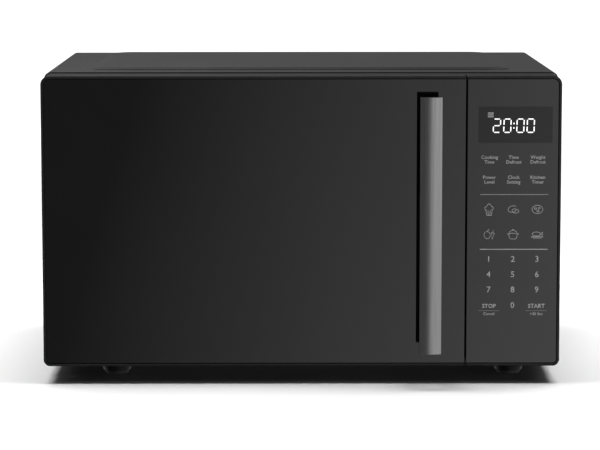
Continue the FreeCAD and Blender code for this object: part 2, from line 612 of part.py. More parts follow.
# ---------------------------------------------------------------- hinges and interlock
def hinge(upper):
    """Steel plate off the front frame with the pin that the door turns on."""
    sign = 1 if upper else -1
    z0 = HINGE_TOP_Z if upper else HINGE_LOW_Z - HINGE_PLATE
    arm = block(HINGE_X - HINGE_PLATE_HALF, HINGE_X + HINGE_PLATE_HALF, HINGE_Y, Y_FLANGE - 0.05, z0,
                z0 + HINGE_PLATE)
    nose = rod(HINGE_PLATE_HALF, (HINGE_X, HINGE_Y, z0), Z_AXIS, HINGE_PLATE)
    leg_z = (z0, z0 + 4.5) if upper else (z0 + HINGE_PLATE - 4.5, z0 + HINGE_PLATE)
    leg = block(HINGE_X - HINGE_PLATE_HALF, HINGE_X + HINGE_PLATE_HALF, Y_FLANGE - 1.2, Y_FLANGE - 0.05,
                *leg_z)
    pin_start = z0 + 0.5 if upper else z0 + HINGE_PLATE - 0.5
    pin = rod(HINGE_PIN_R, (HINGE_X, HINGE_Y, pin_start), Z_AXIS * -sign, 13.0)
    return fuse([arm, nose, leg, pin])


def latch_body():
    """Plastic bracket behind the front frame: a wall, two catches for the hooks and the lever's pin."""
    y0, y1 = Y_FLANGE + SHEET + 0.1, Y_FLANGE + 48.0
    wall = side_slab(y0, y1, 40.0, 268.0, 136.0, 139.0, (0, 6, 6, 0))
    catches = []
    for z in (HOOK_UP_Z, HOOK_LOW_Z):
        top = z - 0.6
        profile = [(139, y0, top - 9), (139, HOOK_TIP_Y - 7.5, top - 9), (139, HOOK_TIP_Y - 7.5, top),
                   (139, y0 + 6, top), (139, y0, top - 3.5)]
        catches.append(prism(profile, Vector(11, 0, 0)))
    pin = rod(1.5, (139, LEVER_Y, LEVER_Z), X_AXIS, 10.0)
    feet_tabs = [block(122, 136, y0, y0 + 3, z, z + 12) for z in (46.0, 150.0, 252.0)]
    return fuse([wall] + catches + [pin] + feet_tabs)


SWITCH_WIDE, SWITCH_DEEP, SWITCH_TALL = 10.0, 16.0, 28.0
PLUNGER_R, PLUNGER_LONG = 1.7, 7.0
PRIMARY = (HOOK_TIP_Y + 0.2, HOOK_UP_Z + 5.0,
           0.6)                       # plunger tip y, its z, how far it stands out
SECONDARY = (LEVER_Y0 + LEVER_THICK + 0.2, LEVER_Z - LEVER_ARM, 0.5)
MONITOR = (LEVER_Y0 + LEVER_THICK + 0.2, LEVER_Z + LEVER_ARM, 2.0)


def switch(tip_y, z, proud):
    """Micro switch with a bore for its plunger and two blade terminals."""
    x0 = 139.2
    y0 = tip_y + proud
    body = side_slab(y0, y0 + SWITCH_DEEP, z - SWITCH_TALL / 2, z + SWITCH_TALL / 2, x0, x0 + SWITCH_WIDE,
                     (1,) * 4)
    bore = rod(PLUNGER_R + 0.1, (x0 + SWITCH_WIDE / 2, y0 - 1, z), Y_AXIS, PLUNGER_LONG + 3.5)
    holes = [rod(1.5, (x0 - 1, y0 + 11, z + s * 10), X_AXIS, SWITCH_WIDE + 2) for s in (-1, 1)]
    tabs = [block(x0 + 3.5, x0 + 4.3, y0 + SWITCH_DEEP, y0 + SWITCH_DEEP + 8, z + dz - 3, z + dz + 3)
            for dz in (-9, 9)]
    return fuse([body] + tabs).cut(bore).cut(Part.makeCompound(holes))


def plunger(tip_y, z, proud):
    x = 139.2 + SWITCH_WIDE / 2
    tip = Part.makeCone(PLUNGER_R - 0.6, PLUNGER_R, 0.6, Vector(x, tip_y, z), Y_AXIS)
    return tip.fuse(rod(PLUNGER_R, (x, tip_y + 0.6, z), Y_AXIS, PLUNGER_LONG - 0.6)).removeSplitter()


def interlock_lever():
    """Rocker between the lower hook and the two lower switches."""
    z0, z1 = LEVER_Z - LEVER_ARM - 4, LEVER_Z + LEVER_ARM + 4
    bar = side_slab(LEVER_Y0, LEVER_Y0 + LEVER_THICK, z0, z1, HOOK_X0, HOOK_X1, (1.2,) * 4)
    boss = rod(3.6, (HOOK_X0, LEVER_Y, LEVER_Z), X_AXIS, HOOK_X1 - HOOK_X0)
    return fuse([bar, boss]).cut(rod(1.56, (HOOK_X0 - 1, LEVER_Y, LEVER_Z), X_AXIS, 8.0))


# ---------------------------------------------------------------- door
def front_shell(x0, x1, radii, covered_side):
    """Outside of the door or the control panel: rim with a bevel, and a pocket for the glass.

    covered_side is -1 or 1 for the edge at the seam, which the glass covers.
    """
    body = front_slab(x0, x1, Z_LOW, Z_DOOR_TOP, Y_GLASS, Y_DOOR_BACK, radii)
    rim_edges = [edge for edge in body.Edges
                 if max(abs(edge.BoundBox.YMin - Y_GLASS), abs(edge.BoundBox.YMax - Y_GLASS)) < 1e-4]
    body = body.makeChamfer(RIM_BEVEL, rim_edges)
    left = x0 + RIM if covered_side > 0 else x0 - 5
    right = x1 - RIM if covered_side < 0 else x1 + 5
    inset = [max(0, r - RIM) for r in radii]
    if covered_side > 0:
        inset = [inset[0], 0, 0, inset[3]]
    else:
        inset = [0, inset[1], inset[2], 0]
    pocket = front_slab(left, right, Z_LOW + RIM, Z_DOOR_TOP - RIM, Y_GLASS - 1, Y_GLASS + GLASS, inset)
    return body.cut(pocket)


def front_glass(x0, x1, radii, covered_side):
    gap = RIM + GROOVE
    left = x0 + (gap if covered_side > 0 else 0.3)
    right = x1 - (gap if covered_side < 0 else 0.3)
    inset = [max(0.8, r - gap) for r in radii]
    return front_slab(left, right, Z_LOW + gap, Z_DOOR_TOP - gap, Y_GLASS, Y_GLASS + GLASS - 0.1, inset)


DOOR_RADII = (BOTTOM_CORNER_R, SMALL_CORNER_R, SMALL_CORNER_R, TOP_CORNER_R)
PANEL_RADII = (SMALL_CORNER_R, BOTTOM_CORNER_R, TOP_CORNER_R, SMALL_CORNER_R)
WALL = 2.5
LEDGE_Y = Y_GLASS + GLASS + 2.0     # back of the ledge that the glass is bonded to
FLANGE_Y = Y_DOOR_BACK - 2.0        # front of the door's own back flange
COVER_X0, COVER_X1 = -224.5, 139.0  # inner cover of the door
COVER_Z0, COVER_Z1 = 27.0, 277.0
SCREEN = (-190.0, 96.0, 64.0, 246.0)   # window in the choke: x, x, z, z
CHOKE_WEB_Y = Y_GLASS + 11.0
SPRING_Y, SPRING_Z0, SPRING_Z1 = Y_DOOR_BACK - 15.0, 133.0, 168.0


def door_frame():
    """Moulded frame: rim, walls, ledge behind the glass, back flange, hinge blocks and slots."""
    shell = front_shell(X_DOOR_L, X_DOOR_R, DOOR_RADII, 1)
    plan = flat_slab(X_DOOR_L, X_DOOR_R, Y_GLASS, Y_DOOR_BACK, Z_LOW - 1, Z_DOOR_TOP + 1, (0, 0, 2, 6))
    shell = shell.common(plan)
    inside = front_slab(X_DOOR_L + WALL, X_DOOR_R - WALL, Z_LOW + 3, Z_DOOR_TOP - 3, LEDGE_Y, FLANGE_Y,
                        (3, 0, 0, 5))
    ledge = front_slab(X_DOOR_L + 16, HANDLE_X0 - 6, Z_LOW + 16, Z_DOOR_TOP - 16, Y_GLASS + GLASS - 1,
                       LEDGE_Y + 1, (4,) * 4)
    back = front_slab(COVER_X0 - 0.5, COVER_X1 + 0.5, COVER_Z0 - 0.5, COVER_Z1 + 0.5, FLANGE_Y - 1,
                      Y_DOOR_BACK + 1)
    slots = [block(HOOK_X0 - 1, HOOK_X1 + 1, FLANGE_Y - 1, Y_DOOR_BACK + 1, z - HOOK_NOSE - 1,
                   z + HOOK_TALL + HOOK_LIFT + 2)
             for z in (HOOK_UP_Z, HOOK_LOW_Z)]
    screws = [rod(2.6, (HANDLE_X, LEDGE_Y - 4, z), Y_AXIS, 6) for z in HANDLE_POSTS]
    frame = cut(shell, [inside, ledge, back] + slots + screws)
    # hinge blocks with the pins' bores, then room for the hinge plates to swing in
    block_x = (X_DOOR_L + WALL - 0.5, HINGE_X + 5.7)
    blocks = [block(*block_x, HINGE_Y - 7, HINGE_Y + 7, HINGE_TOP_Z - 15, HINGE_TOP_Z - 0.6),
              block(*block_x, HINGE_Y - 7, HINGE_Y + 7, HINGE_LOW_Z + 0.6, HINGE_LOW_Z + 15)]
    bores = [rod(HINGE_BORE_R, (HINGE_X, HINGE_Y, z), Z_AXIS, 16)
             for z in (HINGE_TOP_Z - 15.5, HINGE_LOW_Z)]
    swing = [block(X_DOOR_L - 1, HINGE_X + 9, HINGE_Y - 10.5, Y_DOOR_BACK + 1, HINGE_TOP_Z - 0.6,
                   Z_DOOR_TOP - 3),
             block(X_DOOR_L - 1, HINGE_X + 9, HINGE_Y - 10.5, Y_DOOR_BACK + 1, Z_LOW + 3,
                   HINGE_LOW_Z + 0.6)]
    post = rod(1.4, (X_DOOR_R - WALL + 0.2, SPRING_Y, SPRING_Z0 - 2.0), Vector(-1, 0, 0), 9.0)
    guides = [block(HOOK_X1 + 0.3, X_DOOR_R - WALL + 0.5, Y_DOOR_BACK - 25, FLANGE_Y + 0.5, z, z + 8)
              for z in (96.0, 204.0)]
    bosses = [rod(3.0, (x, LEDGE_Y - 0.5, z), Y_AXIS, CHOKE_WEB_Y - LEDGE_Y + 0.45)
              for x in (-219.0, 132.0) for z in (30.5, 273.5)]
    return cut(fuse([frame] + blocks + guides + bosses + [post]), bores + swing)


def door_glass():
    glass = front_glass(X_DOOR_L, X_DOOR_R, DOOR_RADII, 1)
    return cut(glass, [rod(4.0, (HANDLE_X, Y_GLASS - 1, z), Y_AXIS, 6) for z in HANDLE_POSTS])




def door_choke():
    """Pressed steel frame round the window, with the channel that stops the microwaves."""
    t = 0.8
    x0, x1, z0, z1 = COVER_X0, 138.0, COVER_Z0, COVER_Z1
    web = front_slab(x0, x1, z0, z1, CHOKE_WEB_Y, CHOKE_WEB_Y + t, (3,) * 4)
    web = web.cut(front_slab(*SCREEN, CHOKE_WEB_Y - 1, CHOKE_WEB_Y + 2, (3,) * 4))
    outer = front_slab(x0, x1, z0, z1, CHOKE_WEB_Y + t, Y_DOOR_BACK - 4, (3,) * 4)
    outer = outer.cut(front_slab(x0 + t, x1 - t, z0 + t, z1 - t, CHOKE_WEB_Y, Y_DOOR_BACK, (2.2,) * 4))
    ix0, ix1, iz0, iz1 = SCREEN[0] - 12, SCREEN[1] + 12, SCREEN[2] - 14, SCREEN[3] + 14
    inner = front_slab(ix0, ix1, iz0, iz1, CHOKE_WEB_Y + t, Y_DOOR_BACK - 12, (4,) * 4)
    inner = inner.cut(front_slab(ix0 + t, ix1 - t, iz0 + t, iz1 - t, CHOKE_WEB_Y, Y_DOOR_BACK, (3.2,) * 4))
    return fuse([web, outer, inner])


def door_screen():
    """Screen in the window; its holes are too fine to model here."""
    x0, x1, z0, z1 = SCREEN
    return front_slab(x0 - 4, x1 + 4, z0 - 4, z1 + 4, CHOKE_WEB_Y - 0.7, CHOKE_WEB_Y - 0.1, (4,) * 4)


def door_inner_cover():
    """Plastic ring over the choke channel, seen when the door is open."""
    ring = front_slab(COVER_X0, COVER_X1, COVER_Z0, COVER_Z1, Y_DOOR_BACK - 3, Y_DOOR_BACK, (5,) * 4)
    edges = [e for e in ring.Edges if abs(e.BoundBox.YMin - Y_DOOR_BACK) < 1e-4]
    ring = ring.makeChamfer(0.8, edges)
    x0, x1, z0, z1 = SCREEN
    hole = front_slab(x0 + 4, x1 - 4, z0 + 4, z1 - 4, Y_DOOR_BACK - 5, Y_DOOR_BACK + 1, (8,) * 4)
    return ring.cut(hole)


def door_inner_window():
    """Clear panel behind the ring, that keeps steam off the screen."""
    x0, x1, z0, z1 = SCREEN
    return front_slab(x0 - 5, x1 + 5, z0 - 5, z1 + 5, Y_DOOR_BACK - 5.2, Y_DOOR_BACK - 3.2, (8,) * 4)


def handle_section(inset, back):
    """Plan outline of the handle: bowed front, straight sides. back is the y where it ends."""
    x0, x1 = HANDLE_X0 + inset, HANDLE_X0 + HANDLE_WIDE - inset
    front, side = Y_HANDLE + inset, Y_HANDLE + 2.2 + inset
    a, b, c, d = Vector(x0, side, 0), Vector(x1, side, 0), Vector(x1, back, 0), Vector(x0, back, 0)
    arc = Part.Arc(a, Vector(HANDLE_X, front, 0), b).toShape()
    lines = [Part.LineSegment(p, q).toShape() for p, q in ((b, c), (c, d), (d, a))]
    return Part.Face(Part.Wire([arc] + lines))


def handle_cover():
    """Brushed steel channel that faces the handle."""
    outer = handle_section(0.0, Y_HANDLE + 8.0).extrude(Vector(0, 0, HANDLE_LONG))
    inner = handle_section(1.0, Y_HANDLE + 9.0).extrude(Vector(0, 0, HANDLE_LONG))
    shell = outer.cut(inner)
    shell.translate(Vector(0, 0, HANDLE_Z0))
    return shell


def handle_core():
    """Black moulding inside the steel, with a post at each end that stands on the glass."""
    bar = handle_section(1.1, HANDLE_BACK).extrude(Vector(0, 0, HANDLE_LONG - 1.0))
    bar.translate(Vector(0, 0, HANDLE_Z0 + 0.5))
    posts = [front_slab(HANDLE_X0 + 2.5, HANDLE_X0 + HANDLE_WIDE - 2.5, z - 13, z + 13, HANDLE_BACK - 0.5,
                        Y_GLASS - 0.05, (4,) * 4)
             for z in HANDLE_POSTS]
    bores = [rod(2.05, (HANDLE_X, Y_GLASS - 16, z), Y_AXIS, 18) for z in HANDLE_POSTS]
    return cut(fuse([bar] + posts), bores)


def handle_screws():
    """Screws through the door frame and glass into the posts."""
    made = []
    for z in HANDLE_POSTS:
        head = rod(4.6, (HANDLE_X, LEDGE_Y, z), Y_AXIS, 3.0)
        shank = rod(2.0, (HANDLE_X, Y_GLASS - 14, z), Y_AXIS, 14 + LEDGE_Y - Y_GLASS + 1)
        made.append(fuse([head, shank]).cut(block(HANDLE_X - 2.6, HANDLE_X + 2.6, LEDGE_Y + 1.6,
                                                  LEDGE_Y + 4, z - 0.5, z + 0.5)))
    return group(made)


def latch_hooks():
    """Door key: a plate in the door with an upper and a lower hook, and a window for its spring."""
    y0, y1 = Y_DOOR_BACK - 25.0, Y_DOOR_BACK - 4.0
    plate = side_slab(y0, y1, HOOK_LOW_Z - 6, HOOK_UP_Z + HOOK_TALL + 6, HOOK_X0, HOOK_X1, (2,) * 4)
    window = side_slab(SPRING_Y - 6, SPRING_Y + 6, SPRING_Z0 - 11, SPRING_Z1 + 0.1, HOOK_X0 - 1,
                       HOOK_X1 + 1, (2,) * 4)
    x = HOOK_X0
    hooks = []
    for z in (HOOK_UP_Z, HOOK_LOW_Z):
        profile = [(x, y1 - 2, z), (x, HOOK_TIP_Y - 6, z), (x, HOOK_TIP_Y - 6, z - HOOK_NOSE),
                   (x, HOOK_TIP_Y - 3.5, z - HOOK_NOSE),
                   (x, HOOK_TIP_Y, z + 1), (x, HOOK_TIP_Y, z + HOOK_TALL), (x, y1 - 2, z + HOOK_TALL)]
        hooks.append(prism(profile, Vector(HOOK_X1 - HOOK_X0, 0, 0)))
    return fuse([plate.cut(window)] + hooks)


def latch_spring():
    """Coil spring that pulls the hooks down; its lower end is held by the door frame."""
    radius, wire, turns = 2.6, 0.4, 9
    height = SPRING_Z1 - SPRING_Z0 - 2 * wire
    helix = Part.makeHelix(height / turns, height, radius)
    section = Part.Wire(Part.makeCircle(wire, Vector(radius, 0, 0), Y_AXIS))
    coil = Part.Wire(helix).makePipeShell([section], True, True)
    coil.translate(Vector((HOOK_X0 + HOOK_X1) / 2, SPRING_Y, SPRING_Z0 + wire))
    return coil


# ---------------------------------------------------------------- control panel
def panel_housing():
    """Moulded box beside the door, closed behind by the front frame."""
    shell = front_shell(X_PANEL_L, HALF, PANEL_RADII, -1)
    inside = front_slab(X_PANEL_L + WALL, HALF - WALL, Z_LOW + 3, Z_DOOR_TOP - 3, LEDGE_Y, Y_DOOR_BACK + 1,
                        (0, 3, 5, 0))
    ledge = front_slab(X_PANEL_L + 5, HALF - 8, Z_LOW + 12, Z_DOOR_TOP - 12, Y_GLASS + GLASS - 1,
                       LEDGE_Y + 1, (3,) * 4)
    posts = [rod(3.5, (x, PANEL_BOARD_Y + 1.7, z), Y_AXIS, Y_FLANGE - 0.05 - PANEL_BOARD_Y - 1.7)
             for x in (168.0, 228.0) for z in (50.0, 250.0)]
    ties = [block(X_PANEL_L + WALL - 0.5, HALF - WALL + 0.5, Y_DOOR_BACK - 6, Y_DOOR_BACK - 4, z - 4,
                  z + 4) for z in (50.0, 250.0)]
    return fuse([cut(shell, [inside, ledge])] + ties + posts)


PANEL_BOARD_Y = Y_GLASS + 17.0
DISPLAY = (160.0, 232.0, 232.0, 256.5)    # x, x, z, z


def panel_glass():
    return front_glass(X_PANEL_L, HALF, PANEL_RADII, -1)


def display_module():
    """Numeric display behind the glass."""
    return front_slab(*DISPLAY, Y_GLASS + GLASS + 0.1, PANEL_BOARD_Y - 0.1, (1.5,) * 4)


def control_board():
    """Touch sensing and timer board."""
    plate = front_slab(162.0, 234.0, 44.0, 258.0, PANEL_BOARD_Y, PANEL_BOARD_Y + 1.6, (2,) * 4)
    relay = [block(172, 190, PANEL_BOARD_Y + 1.7, PANEL_BOARD_Y + 15, z, z + 14) for z in (90.0, 112.0)]
    chip = block(200, 214, PANEL_BOARD_Y + 1.7, PANEL_BOARD_Y + 4, 150, 164)
    plug = block(196, 224, PANEL_BOARD_Y + 1.7, PANEL_BOARD_Y + 10, 84, 92)
    return group([plate, chip, plug] + relay)


# ---------------------------------------------------------------- write every node
save("base_plate", base_plate())
save("feet", feet())
save("foot_pads", foot_pads())
save("cabinet_cover", cabinet_cover())
save("cover_screws", cover_screws())
save("rear_panel", rear_panel())
save("wall_spacer", wall_spacer())
save("cord_gland", cord_gland())
save("front_frame", front_frame())
save("cavity_wrap", cavity_wrap())
save("cavity_ceiling", cavity_ceiling())
save("cavity_back", cavity_back())
save("waveguide", waveguide())
save("waveguide_cover", waveguide_cover())
save("magnetron_body", magnetron_body())
save("magnetron_fins", magnetron_fins())
save("magnetron_filter_box", magnetron_filter_box())
save("inverter_board", inverter_board())
save("inverter_transformer", inverter_transformer())
save("inverter_heat_sink", inverter_heat_sink())
save("filter_board", filter_board())
save("fan_shroud", fan_shroud())
save("fan_motor", fan_motor())
save("fan_blade", fan_blade())
save("lamp_bulb", lamp_bulb())
save("lamp_holder", lamp_holder())
save("thermal_cutouts", thermal_cutouts())
save("turntable_motor", turntable_motor())
save("drive_coupler", drive_coupler())
save("glass_tray", glass_tray())
save("roller_guide", roller_guide())
for index in range(3):
    save(f"roller_{index + 1}", roller(index))
save("upper_hinge", hinge(True))
save("lower_hinge", hinge(False))
save("latch_body", latch_body())
for name, place in (("primary", PRIMARY), ("secondary", SECONDARY), ("monitor", MONITOR)):
    save(f"{name}_switch", switch(*place))
    save(f"{name}_plunger", plunger(*place))
save("interlock_lever", interlock_lever())
save("door_frame", door_frame())
save("door_glass", door_glass())
save("door_choke", door_choke())
save("door_screen", door_screen())
save("door_inner_cover", door_inner_cover())
save("door_inner_window", door_inner_window())
save("handle_cover", handle_cover())
save("handle_core", handle_core())
save("handle_screws", handle_screws())
save("latch_hooks", latch_hooks())
save("latch_spring", latch_spring())
save("panel_housing", panel_housing())
save("panel_glass", panel_glass())
save("display_module", display_module())
save("control_board", control_board())
print("turntable centre", TRAY_X, TRAY_Y, "tray underside", TRAY_Z, "tray rim", TRAY_TOP, "roller axis z",
      ROLLER_Z)
print("hinge", HINGE_X, HINGE_Y, "glass y", Y_GLASS, "door back", Y_DOOR_BACK, "flange", Y_FLANGE, "lever",
      LEVER_Y, LEVER_Z)
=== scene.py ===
import math

import bmesh
import bpy
from mathutils import Matrix, Vector

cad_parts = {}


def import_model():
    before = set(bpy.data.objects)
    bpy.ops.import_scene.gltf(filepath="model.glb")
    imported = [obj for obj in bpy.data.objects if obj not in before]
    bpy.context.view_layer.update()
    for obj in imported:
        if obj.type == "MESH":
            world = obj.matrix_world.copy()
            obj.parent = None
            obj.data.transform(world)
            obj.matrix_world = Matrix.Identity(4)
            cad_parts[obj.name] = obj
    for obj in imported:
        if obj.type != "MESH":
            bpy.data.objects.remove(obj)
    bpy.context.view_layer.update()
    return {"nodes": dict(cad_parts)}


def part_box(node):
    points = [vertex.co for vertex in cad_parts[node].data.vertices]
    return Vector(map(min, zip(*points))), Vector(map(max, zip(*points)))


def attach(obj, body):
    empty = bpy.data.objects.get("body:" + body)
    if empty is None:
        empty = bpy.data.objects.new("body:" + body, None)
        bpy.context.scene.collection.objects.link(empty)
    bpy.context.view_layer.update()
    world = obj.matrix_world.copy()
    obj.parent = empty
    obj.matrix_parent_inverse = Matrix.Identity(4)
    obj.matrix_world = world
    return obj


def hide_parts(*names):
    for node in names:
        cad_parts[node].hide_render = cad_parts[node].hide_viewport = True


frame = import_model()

MM = 0.001
NODES = frame["nodes"]
SCENE = bpy.context.scene

# ---------------------------------------------------------------- places read from the frame
GLASS_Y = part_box("panel_glass")[0].y     # face of the door and panel glasses
DOOR_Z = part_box("door_frame")[0].z       # lower edge of the door

# ---------------------------------------------------------------- camera, metres and degrees
SENSOR_WIDTH = 36.0              # mm
LENS = 157.1                     # mm
CLIP_NEAR = 0.05
CLIP_FAR = 100.0
CAMERA_X = -0.0077
CAMERA_REACH = 2.4188            # in front of the glass
CAMERA_RISE = 0.4362             # above the door's lower edge
CAMERA_DOWN = 7.14
CAMERA_ROLL = 0.03
CAMERA_RIGHT = 0.156


def make_camera():
    """Long lens just left of the middle, looking seven degrees down."""
    data = bpy.data.cameras.new("camera")
    data.sensor_width = SENSOR_WIDTH
    data.lens = LENS
    data.clip_start = CLIP_NEAR
    data.clip_end = CLIP_FAR
    camera = bpy.data.objects.new("camera", data)
    SCENE.collection.objects.link(camera)
    down, roll, right = (math.radians(angle) for angle in (CAMERA_DOWN, CAMERA_ROLL, CAMERA_RIGHT))
    camera.location = (CAMERA_X, GLASS_Y - CAMERA_REACH, DOOR_Z + CAMERA_RISE)
    camera.rotation_euler = (math.radians(90) - down, roll, -right)
    SCENE.camera = camera


make_camera()


# ---------------------------------------------------------------- materials
class Graph:
    """Small helper round one material's node tree."""

    def __init__(self, name):
        self.material = bpy.data.materials.new(name)
        self.material.use_nodes = True
        self.tree = self.material.node_tree
        self.shader = self.tree.nodes["Principled BSDF"]
        self.place = self.node("ShaderNodeTexCoord").outputs["Object"]

    def node(self, kind, **settings):
        made = self.tree.nodes.new(kind)
        for key, value in settings.items():
            setattr(made, key, value)
        return made

    def link(self, source, target):
        self.tree.links.new(source, target)

    def stretched(self, scale):
        mapping = self.node("ShaderNodeMapping")
        mapping.inputs["Scale"].default_value = scale
        self.link(self.place, mapping.inputs["Vector"])
        return mapping.outputs["Vector"]

    def noise(self, scale, detail=2.0, stretch=None):
        tex = self.node("ShaderNodeTexNoise")
        tex.inputs["Scale"].default_value = scale
        tex.inputs["Detail"].default_value = detail
        self.link(self.stretched(stretch) if stretch else self.place, tex.inputs["Vector"])
        return tex.outputs["Fac"]

    def cells(self, scale, output="Distance"):
        tex = self.node("ShaderNodeTexVoronoi")
        tex.inputs["Scale"].default_value = scale
        self.link(self.place, tex.inputs["Vector"])
        return tex.outputs[output]

    def between(self, factor, low, high, start=0.35, end=0.65):
        """factor from start to end turned into low to high."""
        ranger = self.node("ShaderNodeMapRange")
        for key, value in (("From Min", start), ("From Max", end), ("To Min", low), ("To Max", high)):
            ranger.inputs[key].default_value = value
        self.link(factor, ranger.inputs["Value"])
        return ranger.outputs["Result"]

    def colours(self, factor, low, high, start=0.35, end=0.65):
        ramp = self.node("ShaderNodeValToRGB")
        ramp.color_ramp.elements[0].position = start
        ramp.color_ramp.elements[1].position = end
        ramp.color_ramp.elements[0].color = (*low, 1)
        ramp.color_ramp.elements[1].color = (*high, 1)
        self.link(factor, ramp.inputs["Fac"])
        return ramp.outputs["Color"]

    def bump(self, height, strength, depth):
        """Depth in mm."""
        bump = self.node("ShaderNodeBump")
        bump.inputs["Strength"].default_value = strength
        bump.inputs["Distance"].default_value = depth * MM
        self.link(height, bump.inputs["Height"])
        self.link(bump.outputs["Normal"], self.shader.inputs["Normal"])

    def set(self, **values):
        for key, value in values.items():
            self.shader.inputs[key.replace("_", " ")].default_value = value


BROAD_GRAIN = 14.0               # noise scale of slow changes in colour


def grey(level):
    return (level, level, level)


def textured(name, low, high, rough, grain, bump, depth, stretch=None, **values):
    """Surface whose roughness and height follow a fine grain, and its colour a broad one. Depth in mm."""
    g = Graph(name)
    fine = g.noise(grain, 3.0, stretch)
    g.link(g.colours(g.noise(BROAD_GRAIN), low, high), g.shader.inputs["Base Color"])
    g.link(g.between(fine, *rough), g.shader.inputs["Roughness"])
    g.bump(fine, bump, depth)
    g.set(**values)
    return g.material


def mat_black_glass():
    """Opaque black glass: polished, with the faintest unevenness."""
    g = Graph("black_glass")
    broad = g.noise(9.0, 2.0)
    g.link(g.colours(broad, grey(0.0016), grey(0.0026)), g.shader.inputs["Base Color"])
    g.link(g.between(g.noise(40.0, 4.0), 0.015, 0.035), g.shader.inputs["Roughness"])
    g.set(IOR=1.52)
    return g.material


def mat_brushed_steel():
    """Steel brushed along the handle."""
    g = Graph("brushed_steel")
    lines = g.noise(1.0, 4.0, (5200.0, 5200.0, 22.0))
    broad = g.noise(1.0, 2.0, (700.0, 700.0, 8.0))
    g.link(g.colours(broad, grey(0.21), grey(0.25)), g.shader.inputs["Base Color"])
    g.link(g.between(lines, 0.26, 0.40), g.shader.inputs["Roughness"])
    g.bump(lines, 0.22, 0.03)
    g.set(Metallic=1.0)
    return g.material


def mat_zinc():
    """Zinc-coated sheet with its spangle."""
    g = Graph("zinc_sheet")
    spangle = g.cells(160.0, output="Color")
    g.link(g.colours(spangle, grey(0.42), grey(0.6), 0.2, 0.8), g.shader.inputs["Base Color"])
    g.link(g.between(spangle, 0.32, 0.5, 0.2, 0.8), g.shader.inputs["Roughness"])
    g.bump(g.noise(1500.0), 0.1, 0.03)
    g.set(Metallic=0.9)
    return g.material


def mat_enamel():
    """Light grey enamel of the cavity, with fine darker specks."""
    g = Graph("enamel")
    specks = g.cells(900.0)
    tone = g.colours(specks, grey(0.22), grey(0.47), 0.02, 0.14)
    g.link(tone, g.shader.inputs["Base Color"])
    g.link(g.between(g.noise(60.0, 3.0), 0.22, 0.34), g.shader.inputs["Roughness"])
    g.bump(g.noise(1800.0), 0.15, 0.04)
    return g.material


def mat_clear_glass():
    g = Graph("clear_glass")
    g.link(g.colours(g.noise(12.0), (0.90, 0.95, 0.94), (0.94, 0.97, 0.96)), g.shader.inputs["Base Color"])
    g.link(g.between(g.noise(70.0, 3.0), 0.0, 0.03), g.shader.inputs["Roughness"])
    g.bump(g.noise(30.0, 1.0), 0.04, 0.2)
    g.set(Transmission_Weight=1.0, IOR=1.47)
    return g.material


def mat_mica():
    g = Graph("mica")
    flakes = g.cells(420.0, output="Color")
    g.link(g.colours(flakes, (0.40, 0.34, 0.24), (0.60, 0.54, 0.42), 0.1, 0.9), g.shader.inputs["Base Color"])
    g.link(g.between(flakes, 0.25, 0.5, 0.1, 0.9), g.shader.inputs["Roughness"])
    g.bump(flakes, 0.2, 0.04)
    return g.material


# the colour sockets of a Mix node, which shares its socket names between kinds of data
MIX_A = 6
MIX_B = 7
MIX_RESULT = 2


def mat_board(name, low, high):
    """Circuit board: green lacquer between two heights, dark parts above, pale pillars below."""
    g = Graph(name)
    height = g.node("ShaderNodeSeparateXYZ")
    g.link(g.place, height.inputs["Vector"])
    ramp = g.node("ShaderNodeValToRGB")
    ramp.color_ramp.interpolation = "CONSTANT"
    first, last = ramp.color_ramp.elements
    first.color, last.color = (0.5, 0.5, 0.48, 1), (0.03, 0.03, 0.035, 1)
    last.position = high
    middle = ramp.color_ramp.elements.new(low)
    middle.color = (0.015, 0.11, 0.04, 1)
    g.link(height.outputs["Z"], ramp.inputs["Fac"])
    mix = g.node("ShaderNodeMix", data_type="RGBA", blend_type="MULTIPLY")
    mix.inputs["Factor"].default_value = 1.0
    shades = g.colours(g.cells(300.0, output="Color"), grey(0.75), grey(1.0), 0.2, 0.8)
    g.link(ramp.outputs["Color"], mix.inputs[MIX_A])
    g.link(shades, mix.inputs[MIX_B])
    g.link(mix.outputs[MIX_RESULT], g.shader.inputs["Base Color"])
    g.link(g.between(g.noise(500.0), 0.25, 0.5), g.shader.inputs["Roughness"])
    g.bump(g.cells(700.0), 0.2, 0.1)
    return g.material


def mat_glow(name, level, strength):
    """Lit digits, and printed marks given a faint painted glow in place of the light falling on them:
    slightly uneven, as a light guide is.
    """
    g = Graph(name)
    patchy = g.noise(500.0, 1.0)
    g.link(g.colours(patchy, grey(level * 0.93), grey(level)), g.shader.inputs["Base Color"])
    g.link(g.colours(patchy, grey(0.95), grey(1.0)), g.shader.inputs["Emission Color"])
    g.link(g.between(patchy, 0.4, 0.5), g.shader.inputs["Roughness"])
    g.set(Emission_Strength=strength)
    return g.material


PAINT = textured("satin_paint_and_base_shade", grey(0.011), grey(0.014), rough=(0.26, 0.36),
                 grain=2600.0, bump=0.25, depth=0.04)
REAR_PAINT = textured("rear_paint", grey(0.040), grey(0.050), rough=(0.38, 0.5),
                      grain=2200.0, bump=0.3, depth=0.05)
BLACK_PLASTIC = textured("black_plastic", grey(0.009), grey(0.012), rough=(0.34, 0.48),
                         grain=3200.0, bump=0.25, depth=0.04, Specular_IOR_Level=0.25)
BLACK_GLASS = mat_black_glass()
STEEL = mat_brushed_steel()
ZINC = mat_zinc()
ENAMEL = mat_enamel()
CLEAR = mat_clear_glass()
MICA = mat_mica()
WHITE_PLASTIC = textured("white_plastic", grey(0.62), grey(0.68), rough=(0.35, 0.5),
                         grain=1500.0, bump=0.15, depth=0.04)
GREY_PLASTIC = textured("grey_plastic", grey(0.20), grey(0.25), rough=(0.38, 0.52),
                        grain=1500.0, bump=0.2, depth=0.04)
